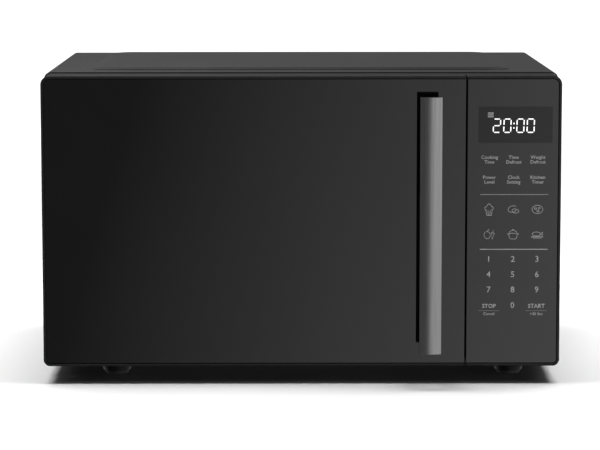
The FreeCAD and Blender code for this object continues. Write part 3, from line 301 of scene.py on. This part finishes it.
RUBBER = textured("rubber", grey(0.010), grey(0.018), rough=(0.6, 0.8),
                  grain=1800.0, bump=0.4, depth=0.08)
SCREW = textured("plated_steel", grey(0.30), grey(0.40), rough=(0.25, 0.4),
                 grain=900.0, bump=0.2, depth=0.04, Metallic=1.0)
MOTOR = textured("motor_steel", grey(0.34), grey(0.44), rough=(0.3, 0.5),
                 grain=1.0, bump=0.5, depth=0.1, stretch=(60.0, 1600.0, 60.0), Metallic=1.0)
ALUMINIUM = textured("aluminium", grey(0.66), grey(0.74), rough=(0.3, 0.45),
                     grain=800.0, bump=0.2, depth=0.05, Metallic=1.0)
FERRITE = textured("ferrite", (0.035, 0.032, 0.03), (0.06, 0.05, 0.045), rough=(0.5, 0.7),
                   grain=900.0, bump=0.4, depth=0.1)
SCREEN = textured("screen_steel", grey(0.06), grey(0.075), rough=(0.35, 0.5),
                  grain=1800.0, bump=0.1, depth=0.03, Metallic=0.3)
DISPLAY = textured("display_body", grey(0.01), grey(0.014), rough=(0.2, 0.3),
                   grain=900.0, bump=0.1, depth=0.03)
INVERTER_BOARD = mat_board("inverter_board", 44.0 * MM, 45.6 * MM)
FILTER_BOARD = mat_board("filter_board", 40.0 * MM, 41.6 * MM)
CONTROL_BOARD = textured("control_board", (0.012, 0.10, 0.04), (0.02, 0.14, 0.05), rough=(0.25, 0.45),
                         grain=600.0, bump=0.3, depth=0.1)
DIGITS = mat_glow("lit_digits", 0.8, 0.95)
# the printed marks' glow is painted light: print on the glossy black glass would otherwise catch too little
# light to show
MARKS_PAINTED_GLOW = mat_glow("marks", 0.30, 0.10)
SOFT_MARKS_PAINTED_GLOW = mat_glow("soft_marks_painted_glow", 0.20, 0.06)
WINDOW = textured("display_window", grey(0.0012), grey(0.0018), rough=(0.03, 0.05),
                  grain=40.0, bump=0.02, depth=0.01, Specular_IOR_Level=0.36)

FINISH = {
    # the cabinet cover's paint is real; the base plate is really bare zinc and gets this dark paint as
    # painted shade, which keeps the floor under the oven dark
    PAINT: ["cabinet_cover", "base_plate"],
    REAR_PAINT: ["rear_panel"],
    BLACK_PLASTIC: ["feet", "wall_spacer", "cord_gland", "fan_shroud", "thermal_cutouts", "primary_plunger",
                    "secondary_plunger", "monitor_plunger", "door_frame", "door_inner_cover", "handle_core",
                    "panel_housing"],
    BLACK_GLASS: ["door_glass", "panel_glass"],
    STEEL: ["handle_cover"],
    ZINC: ["waveguide", "upper_hinge", "lower_hinge"],
    ENAMEL: ["front_frame", "cavity_wrap", "cavity_ceiling", "cavity_back", "door_choke"],
    CLEAR: ["glass_tray", "lamp_bulb", "door_inner_window"],
    MICA: ["waveguide_cover"],
    WHITE_PLASTIC: ["lamp_holder", "drive_coupler", "roller_guide", "roller_1", "roller_2", "roller_3",
                    "latch_body", "latch_hooks"],
    GREY_PLASTIC: ["fan_blade", "primary_switch", "secondary_switch", "monitor_switch", "interlock_lever"],
    RUBBER: ["foot_pads"],
    SCREW: ["cover_screws", "handle_screws", "latch_spring"],
    MOTOR: ["fan_motor", "turntable_motor", "magnetron_body", "magnetron_filter_box"],
    ALUMINIUM: ["magnetron_fins", "inverter_heat_sink"],
    FERRITE: ["inverter_transformer"],
    SCREEN: ["door_screen"],
    DISPLAY: ["display_module"],
    INVERTER_BOARD: ["inverter_board"],
    FILTER_BOARD: ["filter_board"],
    CONTROL_BOARD: ["control_board"],
}


def dress(obj, material):
    obj.data.materials.clear()
    obj.data.materials.append(material)


for material, names in FINISH.items():
    for name in names:
        dress(NODES[name], material)


# ---------------------------------------------------------------- mesh helpers
PRINT_LIFT = 0.06 * MM           # how far printed marks stand off the glass
MARK_SINK = 0.02 * MM            # how far every mark reaches into it
MITRE_LIMIT = 1.8                # longest mitre, in half widths of the line
LEAST_COSINE = 0.4               # keeps a sharp turn's mitre finite


def piece(name, mesh, material, body):
    obj = bpy.data.objects.new(name, mesh)
    SCENE.collection.objects.link(obj)
    dress(obj, material)
    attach(obj, body)
    return obj


class Marks:
    """Flat marks on the control glass, gathered into one mesh.

    Places are mm: x, and z above the door's lower edge.
    """

    def __init__(self, lift=PRINT_LIFT):
        self.bm = bmesh.new()
        self.front = GLASS_Y - lift
        self.back = GLASS_Y + MARK_SINK

    def point(self, x, z, y):
        return self.bm.verts.new((x * MM, y, DOOR_Z + z * MM))

    def plate(self, outline):
        """Closed slab from a convex or nearly convex outline."""
        front = [self.point(x, z, self.front) for x, z in outline]
        back = [self.point(x, z, self.back) for x, z in outline]
        self.bm.faces.new(front)
        self.bm.faces.new(back[::-1])
        n = len(outline)
        for i in range(n):
            j = (i + 1) % n
            self.bm.faces.new((front[j], front[i], back[i], back[j]))

    def line(self, points, width, closed=False):
        """Ribbon of even width along points, mitred at the corners."""
        n = len(points)
        pts = [Vector(p) for p in points]
        sides = []
        for i, p in enumerate(pts):
            before = pts[i - 1] if i or closed else None
            after = pts[(i + 1) % n] if i < n - 1 or closed else None
            spans = [(a, b) for a, b in ((before, p), (p, after)) if a is not None and b is not None]
            ways = [(b - a).normalized() for a, b in spans]
            way = sum(ways, Vector((0, 0))).normalized()
            normal = Vector((-way.y, way.x))
            stretch = min(MITRE_LIMIT, 1.0 / max(LEAST_COSINE, way.dot(ways[0])))
            offset = normal * width / 2 * stretch
            sides.append((p + offset, p - offset))
        rings = [[self.point(s.x, s.y, y) for s in side for y in (self.front, self.back)] for side in sides]
        last = n if closed else n - 1
        for i in range(last):
            a, b = rings[i], rings[(i + 1) % n]
            for u, v in ((0, 1), (1, 3), (3, 2), (2, 0)):
                self.bm.faces.new((a[u], a[v], b[v], b[u]))
        if not closed:
            for ring in (rings[0], rings[-1]):
                self.bm.faces.new((ring[0], ring[1], ring[3], ring[2]))

    def oval(self, cx, cz, rx, rz, width, turn=0.0, start=0.0, end=360.0, count=22):
        closed = end - start >= 360.0
        steps = count if closed else count + 1
        t = math.radians(turn)
        points = []
        for i in range(steps):
            a = math.radians(start + (end - start) * i / count)
            u, v = rx * math.cos(a), rz * math.sin(a)
            points.append((cx + u * math.cos(t) - v * math.sin(t), cz + u * math.sin(t) + v * math.cos(t)))
        self.line(points, width, closed)

    def words(self, text, x, z, size, weight=0.0):
        """Centred lettering, z at its middle."""
        curve = bpy.data.curves.new("words", "FONT")
        curve.body = text
        curve.size = size
        curve.align_x = "CENTER"
        curve.align_y = "CENTER"
        curve.resolution_u = 2
        curve.offset = weight
        curve.extrude = (self.back - self.front) / MM / 2
        obj = bpy.data.objects.new("words", curve)
        SCENE.collection.objects.link(obj)
        bpy.context.view_layer.update()
        mesh = bpy.data.meshes.new_from_object(obj)
        upright = Matrix.Rotation(math.radians(90), 4, "X")
        place = Matrix.Translation((x * MM, (self.front + self.back) / 2, DOOR_Z + z * MM))
        mesh.transform(place @ upright @ Matrix.Scale(MM, 4))
        self.bm.from_mesh(mesh)
        bpy.data.objects.remove(obj)
        bpy.data.curves.remove(curve)
        bpy.data.meshes.remove(mesh)

    def finish(self, name, material):
        bmesh.ops.recalc_face_normals(self.bm, faces=self.bm.faces)
        mesh = bpy.data.meshes.new(name)
        self.bm.to_mesh(mesh)
        self.bm.free()
        piece(name, mesh, material, "oven")


# ---------------------------------------------------------------- control panel
# Places and sizes are mm: x, and z above the door's lower edge.
COLUMNS = (174.7, 197.2, 219.7)
SIDE_COLUMNS = (175.2, 219.6)    # stop and start

WINDOW_X = (164.2, 233.0)
WINDOW_Z = (209.8, 243.6)
WINDOW_CORNER = 1.0
CORNER_POINTS = 5
WINDOW_LIFT = 0.03 * MM
DISPLAY_LIFT = 0.10 * MM

DIGIT_PLACES = (("2", 177.9), ("0", 187.6), ("0", 199.7), ("0", 209.2))
DIGIT_BASE = 219.6
DIGIT_WIDE = 6.5
DIGIT_HALF_TALL = 6.2
SEGMENT_THICK = 1.0
SEGMENT_GAP = 0.6                # from a corner of the digit to a segment's shoulder
DIGIT_LEAN = 0.03
COLON_X = 196.9
COLON_HEIGHTS = (0.66, 1.34)     # of half a digit's height
COLON_RADIUS = 0.7
COLON_POINTS = 12
SEGMENTS = {"a": ((0, 2), (1, 2)), "b": ((1, 2), (1, 1)), "c": ((1, 1), (1, 0)), "d": ((0, 0), (1, 0)),
            "e": ((0, 1), (0, 0)), "f": ((0, 2), (0, 1)), "g": ((0, 1), (1, 1))}
SHAPES = {"2": "abged", "0": "abcdef"}

BAR_X = (172.8, 178.2)
BAR_TOP = 237.6
BAR_PITCH = 1.75
BAR_THICK = 0.95
BAR_COUNT = 3

NAME_ROWS = ((194.1, (("Cooking", "Time"), ("Time", "Defrost"), ("Weight", "Defrost"))),
             (175.4, (("Power", "Level"), ("Clock", "Setting"), ("Kitchen", "Timer"))))
NAME_SIZE = 4.6
NAME_HALF_STEP = 2.2
NAME_WEIGHT = 0.02
COMMANDS = (("STOP", "Cancel"), ("START", "+30 Sec"))
COMMAND_Z = 56.6
COMMAND_SIZE = 5.4
COMMAND_WEIGHT = 0.08
SECOND_Z = 49.3
SECOND_SIZE = 3.8
KEYS_TOP = 100.8
KEY_PITCH = 14.4
ZERO_Z = 57.3
KEY_SIZE = 7.9
KEY_WEIGHT = 0.04
RULE_X = (166.4, 229.6)
UPPER_RULE_Z = 161.6
UPPER_RULE_THICK = 0.65
LOWER_RULE_Z = 110.2
LOWER_RULE_THICK = 0.75
UNDERLINE_Z = 52.3
UNDERLINE_HALF = 10.0
UNDERLINE_THICK = 0.3

ICON_LINE = 0.42


def display_window():
    """Slightly darker window that the digits show through."""
    m = Marks(WINDOW_LIFT)
    (x0, x1), (z0, z1), r = WINDOW_X, WINDOW_Z, WINDOW_CORNER
    centres = ((x1 - r, z1 - r), (x0 + r, z1 - r), (x0 + r, z0 + r), (x1 - r, z0 + r))
    outline = []
    for corner, (cx, cz) in enumerate(centres):
        for k in range(CORNER_POINTS):
            a = math.radians(90 * corner + 90 / (CORNER_POINTS - 1) * k)
            outline.append((cx + r * math.cos(a), cz + r * math.sin(a)))
    m.plate(outline)
    m.finish("display_window", WINDOW)


def segment(m, left, ends):
    """One lit segment, pointed at both ends and leaning with its digit."""
    a, b = (Vector((left + u * DIGIT_WIDE, DIGIT_BASE + v * DIGIT_HALF_TALL)) for u, v in ends)
    way = (b - a).normalized()
    side = Vector((-way.y, way.x)) * SEGMENT_THICK / 2
    tip = way * SEGMENT_THICK / 2
    a = a + way * SEGMENT_GAP
    b = b - way * SEGMENT_GAP
    hexagon = [a, a + tip + side, b - tip + side, b, b - tip - side, a + tip - side]
    m.plate([(p.x + DIGIT_LEAN * (p.y - DIGIT_BASE), p.y) for p in hexagon])


def colon_dot(m, z):
    x = COLON_X + DIGIT_LEAN * (z - DIGIT_BASE)
    angles = [i * 2 * math.pi / COLON_POINTS for i in range(COLON_POINTS)]
    m.plate([(x + COLON_RADIUS * math.cos(a), z + COLON_RADIUS * math.sin(a)) for a in angles])


def display_digits():
    """20:00 in seven-segment digits."""
    m = Marks(DISPLAY_LIFT)
    for char, left in DIGIT_PLACES:
        for name in SHAPES[char]:
            segment(m, left, SEGMENTS[name])
    for height in COLON_HEIGHTS:
        colon_dot(m, DIGIT_BASE + DIGIT_HALF_TALL * height)
    m.finish("display_digits", DIGITS)


def level_bars():
    """Short bars at the display's upper left."""
    m = Marks(DISPLAY_LIFT)
    for i in range(BAR_COUNT):
        z = BAR_TOP - i * BAR_PITCH
        m.line([(x, z) for x in BAR_X], BAR_THICK)
    m.finish("display_level_bars", MARKS_PAINTED_GLOW)


def legends():
    """Printed function names, digits and the lower rule."""
    m = Marks()
    for z, labels in NAME_ROWS:
        for x, (top, bottom) in zip(COLUMNS, labels):
            m.words(top, x, z + NAME_HALF_STEP, NAME_SIZE, NAME_WEIGHT)
            m.words(bottom, x, z - NAME_HALF_STEP, NAME_SIZE, NAME_WEIGHT)
    for x, (main, _) in zip(SIDE_COLUMNS, COMMANDS):
        m.words(main, x, COMMAND_Z, COMMAND_SIZE, COMMAND_WEIGHT)
    for x, (_, second) in zip(SIDE_COLUMNS, COMMANDS):
        m.words(second, x, SECOND_Z, SECOND_SIZE, NAME_WEIGHT)
    for i in range(9):
        m.words(str(i + 1), COLUMNS[i % 3], KEYS_TOP - KEY_PITCH * (i // 3), KEY_SIZE, KEY_WEIGHT)
    m.words("0", COLUMNS[1], ZERO_Z, KEY_SIZE, KEY_WEIGHT)
    m.line([(x, LOWER_RULE_Z) for x in RULE_X], LOWER_RULE_THICK)
    m.finish("panel_legends", MARKS_PAINTED_GLOW)


def soft_rules():
    """Fainter lines: the upper rule, and one under each command."""
    m = Marks()
    m.line([(x, UPPER_RULE_Z) for x in RULE_X], UPPER_RULE_THICK)
    for x in SIDE_COLUMNS:
        m.line([(x - UNDERLINE_HALF, UNDERLINE_Z), (x + UNDERLINE_HALF, UNDERLINE_Z)], UNDERLINE_THICK)
    m.finish("panel_rules", SOFT_MARKS_PAINTED_GLOW)


# Each icon is drawn round its own middle, x and z.
def popcorn_cup(m, x, z):
    m.line([(x - 3.0, z - 0.2), (x - 2.1, z - 5.6), (x + 2.1, z - 5.6), (x + 3.0, z - 0.2)], ICON_LINE)
    for side in (-1, 1):
        m.line([(x + side, z - 0.8), (x + side * 0.7, z - 5.4)], ICON_LINE)
    puffs = ((-2.6, 1.2, 1.5, 60, 290), (0.0, 3.4, 1.8, 0, 180), (2.6, 1.2, 1.5, -110, 120))
    for dx, dz, r, first, last in puffs:
        m.oval(x + dx, z + dz, r, r, ICON_LINE, start=first, end=last, count=12)


def two_potatoes(m, x, z):
    m.oval(x - 0.8, z + 0.4, 4.2, 2.9, ICON_LINE, turn=18, start=20, end=318, count=20)
    m.oval(x + 1.9, z - 1.4, 3.1, 1.9, ICON_LINE, turn=-10)


def topped_flat_bread(m, x, z):
    m.oval(x, z, 5.0, 3.9, ICON_LINE)
    for dx, dz, rx, rz in ((-1.9, 0.9, 1.0, 0.8), (1.6, 1.3, 0.9, 0.7), (0.4, -1.5, 1.2, 0.9)):
        m.oval(x + dx, z + dz, rx, rz, ICON_LINE, count=10)


def pepper_and_carrot(m, x, z):
    m.oval(x - 1.6, z - 0.3, 2.9, 3.4, ICON_LINE, turn=12)
    m.line([(x - 1.4, z + 3.1), (x - 0.6, z + 4.8), (x + 0.5, z + 5.0)], ICON_LINE)
    m.line([(x + 2.4, z + 2.2), (x + 5.2, z + 1.5), (x + 3.0, z - 4.2)], ICON_LINE, True)
    m.line([(x + 3.7, z + 2.0), (x + 3.9, z + 4.2)], ICON_LINE)


def lidded_pot(m, x, z):
    wall = ((3.9, 1.5), (3.5, -2.6), (2.2, -3.9))
    left = [(x - dx, z + dz) for dx, dz in wall]
    right = [(x + dx, z + dz) for dx, dz in wall[::-1]]
    m.line(left + right, ICON_LINE, True)
    m.oval(x, z + 1.8, 3.6, 2.3, ICON_LINE, start=8, end=172, count=14)
    m.oval(x, z + 4.6, 0.7, 0.6, ICON_LINE, count=8)
    for side in (1, -1):
        m.line([(x + side * 4.1, z + 0.6), (x + side * 5.4, z + 0.9)], ICON_LINE * 1.4)


def fish_on_dish(m, x, z):
    m.oval(x - 0.7, z + 0.8, 3.9, 1.9, ICON_LINE)
    m.line([(x + 3.0, z + 0.8), (x + 5.0, z + 2.5), (x + 5.0, z - 0.6)], ICON_LINE, True)
    m.line([(x - 5.6, z - 1.9), (x + 5.6, z - 1.9)], ICON_LINE * 1.5)
    m.line([(x - 4.2, z - 3.0), (x + 4.2, z - 3.0)], ICON_LINE)


ICON_ROWS = ((147.6, (popcorn_cup, two_potatoes, topped_flat_bread)),
             (123.8, (pepper_and_carrot, lidded_pot, fish_on_dish)))


def icons():
    """Six plain outline icons of foods."""
    m = Marks()
    for z, row in ICON_ROWS:
        for x, draw in zip(COLUMNS, row):
            draw(m, x, z)
    m.finish("panel_icons", MARKS_PAINTED_GLOW)


display_window()
display_digits()
level_bars()
legends()
soft_rules()
icons()


# ---------------------------------------------------------------- door screen
SCREEN_PITCH = 4.4 * MM
SCREEN_ROW = SCREEN_PITCH * math.sqrt(3) / 2
HOLE_CORNER = 1.62 * MM          # from a hole's middle to its corners
SCREEN_MARGIN = 5.0 * MM
BORDER_PROUD = 0.05 * MM         # how far the border stands off the pattern on each face
LAP_ACROSS = 0.2 * SCREEN_PITCH  # how far the border covers the outermost cells
LAP_UP = 0.1 * SCREEN_ROW
MICRONS = 1e6                    # in a metre
DECIMALS = 6                     # of a metre, to match vertices by place
SAME = 1e-7                      # metres between places that count as one
HEXAGON = [math.radians(60 * k + 30) for k in range(6)]


def hole_pattern(x0, z0, columns, rows, faces_y):
    """Six-sided cells side by side, alternate rows half a cell across, each with a six-sided hole."""
    verts, faces, index = [], [], {}
    cell_corner = SCREEN_PITCH / math.sqrt(3)

    def hexagon(cx, cz, radius, y):
        ring = []
        for a in HEXAGON:
            place = (cx + radius * math.cos(a), y, cz + radius * math.sin(a))
            key = tuple(round(c * MICRONS) for c in place)
            if key not in index:
                index[key] = len(verts)
                verts.append(place)
            ring.append(index[key])
        return ring

    for r in range(rows):
        for c in range(columns - r % 2):
            cx = x0 + SCREEN_PITCH * (c + 0.5 + 0.5 * (r % 2))
            cz = z0 + SCREEN_ROW * (r + 0.5)
            cell_front, cell_back = [hexagon(cx, cz, cell_corner, y) for y in faces_y]
            hole_front, hole_back = [hexagon(cx, cz, HOLE_CORNER, y) for y in faces_y]
            for k in range(6):
                j = (k + 1) % 6
                faces.append((cell_front[k], cell_front[j], hole_front[j], hole_front[k]))
                faces.append((cell_back[j], cell_back[k], hole_back[k], hole_back[j]))
                faces.append((hole_front[k], hole_front[j], hole_back[j], hole_back[k]))
    return verts, faces


def close_ragged_edge(bm, front_y, back_y):
    """Walls between the front and back faces, all round the pattern."""
    open_edges = [e for e in bm.edges if len(e.link_faces) == 1]
    level = round(front_y, DECIMALS)
    front = [tuple(e.verts) for e in open_edges if round(e.verts[0].co.y, DECIMALS) == level]

    def place(vertex):
        return round(vertex.co.x, DECIMALS), round(vertex.co.z, DECIMALS)

    back = {place(v): v for v in bm.verts if abs(v.co.y - back_y) < SAME}
    for a, b in front:
        bm.faces.new((a, b, back[place(b)], back[place(a)]))


def rectangle(x0, x1, z0, z1):
    return [(x0, z0), (x1, z0), (x1, z1), (x0, z1)]


def add_border(bm, outside, inside, faces_y):
    """Plain frame between two rectangles, closed all over."""
    outer, inner = [[[bm.verts.new((x, y, z)) for x, z in ring] for y in faces_y]
                    for ring in (outside, inside)]
    for k in range(4):
        j = (k + 1) % 4
        bm.faces.new((outer[0][k], outer[0][j], inner[0][j], inner[0][k]))
        bm.faces.new((outer[1][j], outer[1][k], inner[1][k], inner[1][j]))
        bm.faces.new((outer[0][j], outer[0][k], outer[1][k], outer[1][j]))
        bm.faces.new((inner[0][k], inner[0][j], inner[1][j], inner[1][k]))


def perforated_screen():
    """Steel screen with a staggered pattern of real holes, in place of the plain sheet."""
    low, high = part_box("door_screen")
    x0, z0 = low.x + SCREEN_MARGIN, low.z + SCREEN_MARGIN
    columns = int((high.x - SCREEN_MARGIN - x0) / SCREEN_PITCH)
    rows = int((high.z - SCREEN_MARGIN - z0) / SCREEN_ROW)
    mesh = bpy.data.meshes.new("perforated_screen")
    verts, faces = hole_pattern(x0, z0, columns, rows, (low.y, high.y))
    mesh.from_pydata(verts, [], faces)
    bm = bmesh.new()
    bm.from_mesh(mesh)
    close_ragged_edge(bm, low.y, high.y)
    inside = rectangle(x0 + LAP_ACROSS, x0 + SCREEN_PITCH * columns - LAP_ACROSS,
                       z0 + LAP_UP, z0 + SCREEN_ROW * rows - LAP_UP)
    outside = rectangle(low.x, high.x, low.z, high.z)
    add_border(bm, outside, inside, (low.y - BORDER_PROUD, high.y + BORDER_PROUD))
    bmesh.ops.recalc_face_normals(bm, faces=bm.faces)
    bm.to_mesh(mesh)
    bm.free()
    screen = piece("perforated_screen", mesh, SCREEN, "door")
    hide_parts("door_screen")


perforated_screen()


# ---------------------------------------------------------------- shading
SHARP_ANGLE = 35.0               # degrees: edges that turn more than this stay sharp


def smooth_corners(obj):
    """Shades curved faces smooth and keeps sharp edges sharp."""
    for polygon in obj.data.polygons:
        polygon.use_smooth = True
    obj.data.set_sharp_from_angle(angle=math.radians(SHARP_ANGLE))


for node in NODES.values():
    smooth_corners(node)


# ---------------------------------------------------------------- floor and lights, metres and watts
FLOOR_HALF = 12.0
FLOOR_GLOW_START = 1.1           # from here outward the floor glows, so that it meets the white behind it
FLOOR_GLOW_FULL = 2.6
OVERHEAD_Z = 2.0
OVERHEAD_WIDTH = 2.4
OVERHEAD_POWER = 42.0
OVERHEADS = (("overhead_back", 0.425, 0.85), ("overhead_front", -0.21, 0.42))    # y, and size along y
STRIP_PLACE = (-0.42, 0.62, 1.5)
STRIP_TARGET = (-0.15, -0.05, 0.3)
STRIP_SIZE = (0.6, 0.7)
STRIP_POWER = 10.0


def floor():
    mesh = bpy.data.meshes.new("floor")
    h = FLOOR_HALF
    mesh.from_pydata([(-h, -h, 0), (h, -h, 0), (h, h, 0), (-h, h, 0)], [], [(0, 1, 2, 3)])
    obj = bpy.data.objects.new("floor", mesh)
    SCENE.collection.objects.link(obj)
    g = Graph("floor")
    g.link(g.colours(g.noise(3.0), grey(0.86), grey(0.88)), g.shader.inputs["Base Color"])
    g.link(g.between(g.noise(200.0), 0.9, 1.0), g.shader.inputs["Roughness"])
    g.set(Specular_IOR_Level=0.0)
    length = g.node("ShaderNodeVectorMath", operation="LENGTH")
    g.link(g.place, length.inputs[0])
    far = g.between(length.outputs["Value"], 0.0, 1.0, FLOOR_GLOW_START, FLOOR_GLOW_FULL)
    g.link(g.colours(far, grey(0.0), grey(1.0), 0.0, 1.0), g.shader.inputs["Emission Color"])
    g.set(Emission_Strength=1.0)
    dress(obj, g.material)
    obj.visible_glossy = False


def area(name, place, target, size, power, **visible):
    data = bpy.data.lights.new(name, "AREA")
    data.shape = "RECTANGLE"
    data.size, data.size_y = size
    data.energy = power
    obj = bpy.data.objects.new(name, data)
    SCENE.collection.objects.link(obj)
    obj.location = place
    obj.rotation_euler = (Vector(target) - Vector(place)).to_track_quat("-Z", "Y").to_euler()
    obj.visible_camera = False
    for key, value in visible.items():
        setattr(obj, key, value)


# ---------------------------------------------------------------- world
# Directions are unit vectors: x to the right, y away from the camera, z up.
FRONT_LEVEL = 0.40               # what gloss mirrors from straight ahead
FRONT_PER_X = 5.6                # lighter to the right
FRONT_PER_Z = -1.6               # and lighter lower down
FRONT_LEAST = 0.17
FRONT_MOST = 1.25
BACK_MIDDLE = (0.12, 0.16)       # |x| and level straight behind
BACK_SIDE = (0.75, 0.6)          # |x| and level to the sides
BACK_LOW = (0.22, 1.0)           # z and share of that level low down
BACK_HIGH = (0.5, 0.08)          # z and share high up
FRONT_EDGE = (-0.25, 0.0)        # y, from all front
BACK_EDGE = (0.25, 1.0)          # to all back
BELOW_DARK = (-0.6, 0.0)         # z and share: the floor isn't seen by gloss, and the oven shades it
BELOW_FULL = (-0.35, 1.0)
AMBIENT_NONE = (0.35, 0.0)       # z and level of what lights rough surfaces
AMBIENT_FULL = (0.8, 0.22)
WHITE = (1, 1, 1, 1)


class WorldGraph:
    """Small helper round the world's node tree."""

    def __init__(self, name):
        SCENE.world = bpy.data.worlds.new(name)
        SCENE.world.use_nodes = True
        self.tree = SCENE.world.node_tree
        self.tree.nodes.clear()

    def node(self, kind):
        return self.tree.nodes.new(kind)

    def link(self, source, target):
        self.tree.links.new(source, target)

    def math(self, operation, *values):
        made = self.node("ShaderNodeMath")
        made.operation = operation
        for socket, value in zip(made.inputs, values):
            if isinstance(value, (int, float)):
                socket.default_value = value
            else:
                self.link(value, socket)
        return made.outputs[0]

    def ramp(self, value, start, end):
        """Smooth change between two (place, level) pairs."""
        made = self.node("ShaderNodeMapRange")
        made.interpolation_type = "SMOOTHSTEP"
        for key, number in zip(("From Min", "To Min", "From Max", "To Max"), (*start, *end)):
            made.inputs[key].default_value = number
        self.link(value, made.inputs["Value"])
        return made.outputs["Result"]

    def white(self, strength):
        made = self.node("ShaderNodeBackground")
        made.inputs["Color"].default_value = WHITE
        if isinstance(strength, float):
            made.inputs["Strength"].default_value = strength
        else:
            self.link(strength, made.inputs["Strength"])
        return made.outputs[0]

    def choose(self, factor, off, on):
        mix = self.node("ShaderNodeMixShader")
        for socket, source in zip(mix.inputs, (factor, off, on)):
            self.link(source, socket)
        return mix.outputs[0]


def mirrored_level(g, x, y, z):
    """How bright gloss sees the world: a slope in front, and dark straight behind."""
    across = g.math("MULTIPLY_ADD", x, FRONT_PER_X, FRONT_LEVEL)
    slope = g.math("MULTIPLY_ADD", z, FRONT_PER_Z, across)
    front = g.math("MINIMUM", g.math("MAXIMUM", slope, FRONT_LEAST), FRONT_MOST)
    sides = g.ramp(g.math("ABSOLUTE", x), BACK_MIDDLE, BACK_SIDE)
    back = g.math("MULTIPLY", sides, g.ramp(z, BACK_LOW, BACK_HIGH))
    behind = g.ramp(y, FRONT_EDGE, BACK_EDGE)
    facing = g.math("MULTIPLY", front, g.math("SUBTRACT", 1.0, behind))
    around = g.math("ADD", facing, g.math("MULTIPLY", back, behind))
    return g.math("MULTIPLY", around, g.ramp(z, BELOW_DARK, BELOW_FULL))


def world():
    """White to the camera, shaped for gloss, and lit from high up only for rough surfaces."""
    g = WorldGraph("studio")
    way = g.node("ShaderNodeSeparateXYZ")
    g.link(g.node("ShaderNodeTexCoord").outputs["Generated"], way.inputs["Vector"])
    x, y, z = way.outputs
    gloss = g.white(mirrored_level(g, x, y, z))
    ambient = g.white(g.ramp(z, AMBIENT_NONE, AMBIENT_FULL))
    paths = g.node("ShaderNodeLightPath")
    mixed = g.choose(paths.outputs["Is Glossy Ray"], ambient, gloss)
    mixed = g.choose(paths.outputs["Is Camera Ray"], mixed, g.white(1.0))
    g.link(mixed, g.node("ShaderNodeOutputWorld").inputs["Surface"])


SCENE.view_settings.view_transform = "Standard"
floor()
world()
for name, y, depth in OVERHEADS:
    area(name, (0.0, y, OVERHEAD_Z), (0.0, y, 0.0), (OVERHEAD_WIDTH, depth), OVERHEAD_POWER,
         visible_glossy=False)
area("top_left_strip", STRIP_PLACE, STRIP_TARGET, STRIP_SIZE, STRIP_POWER, visible_diffuse=False)
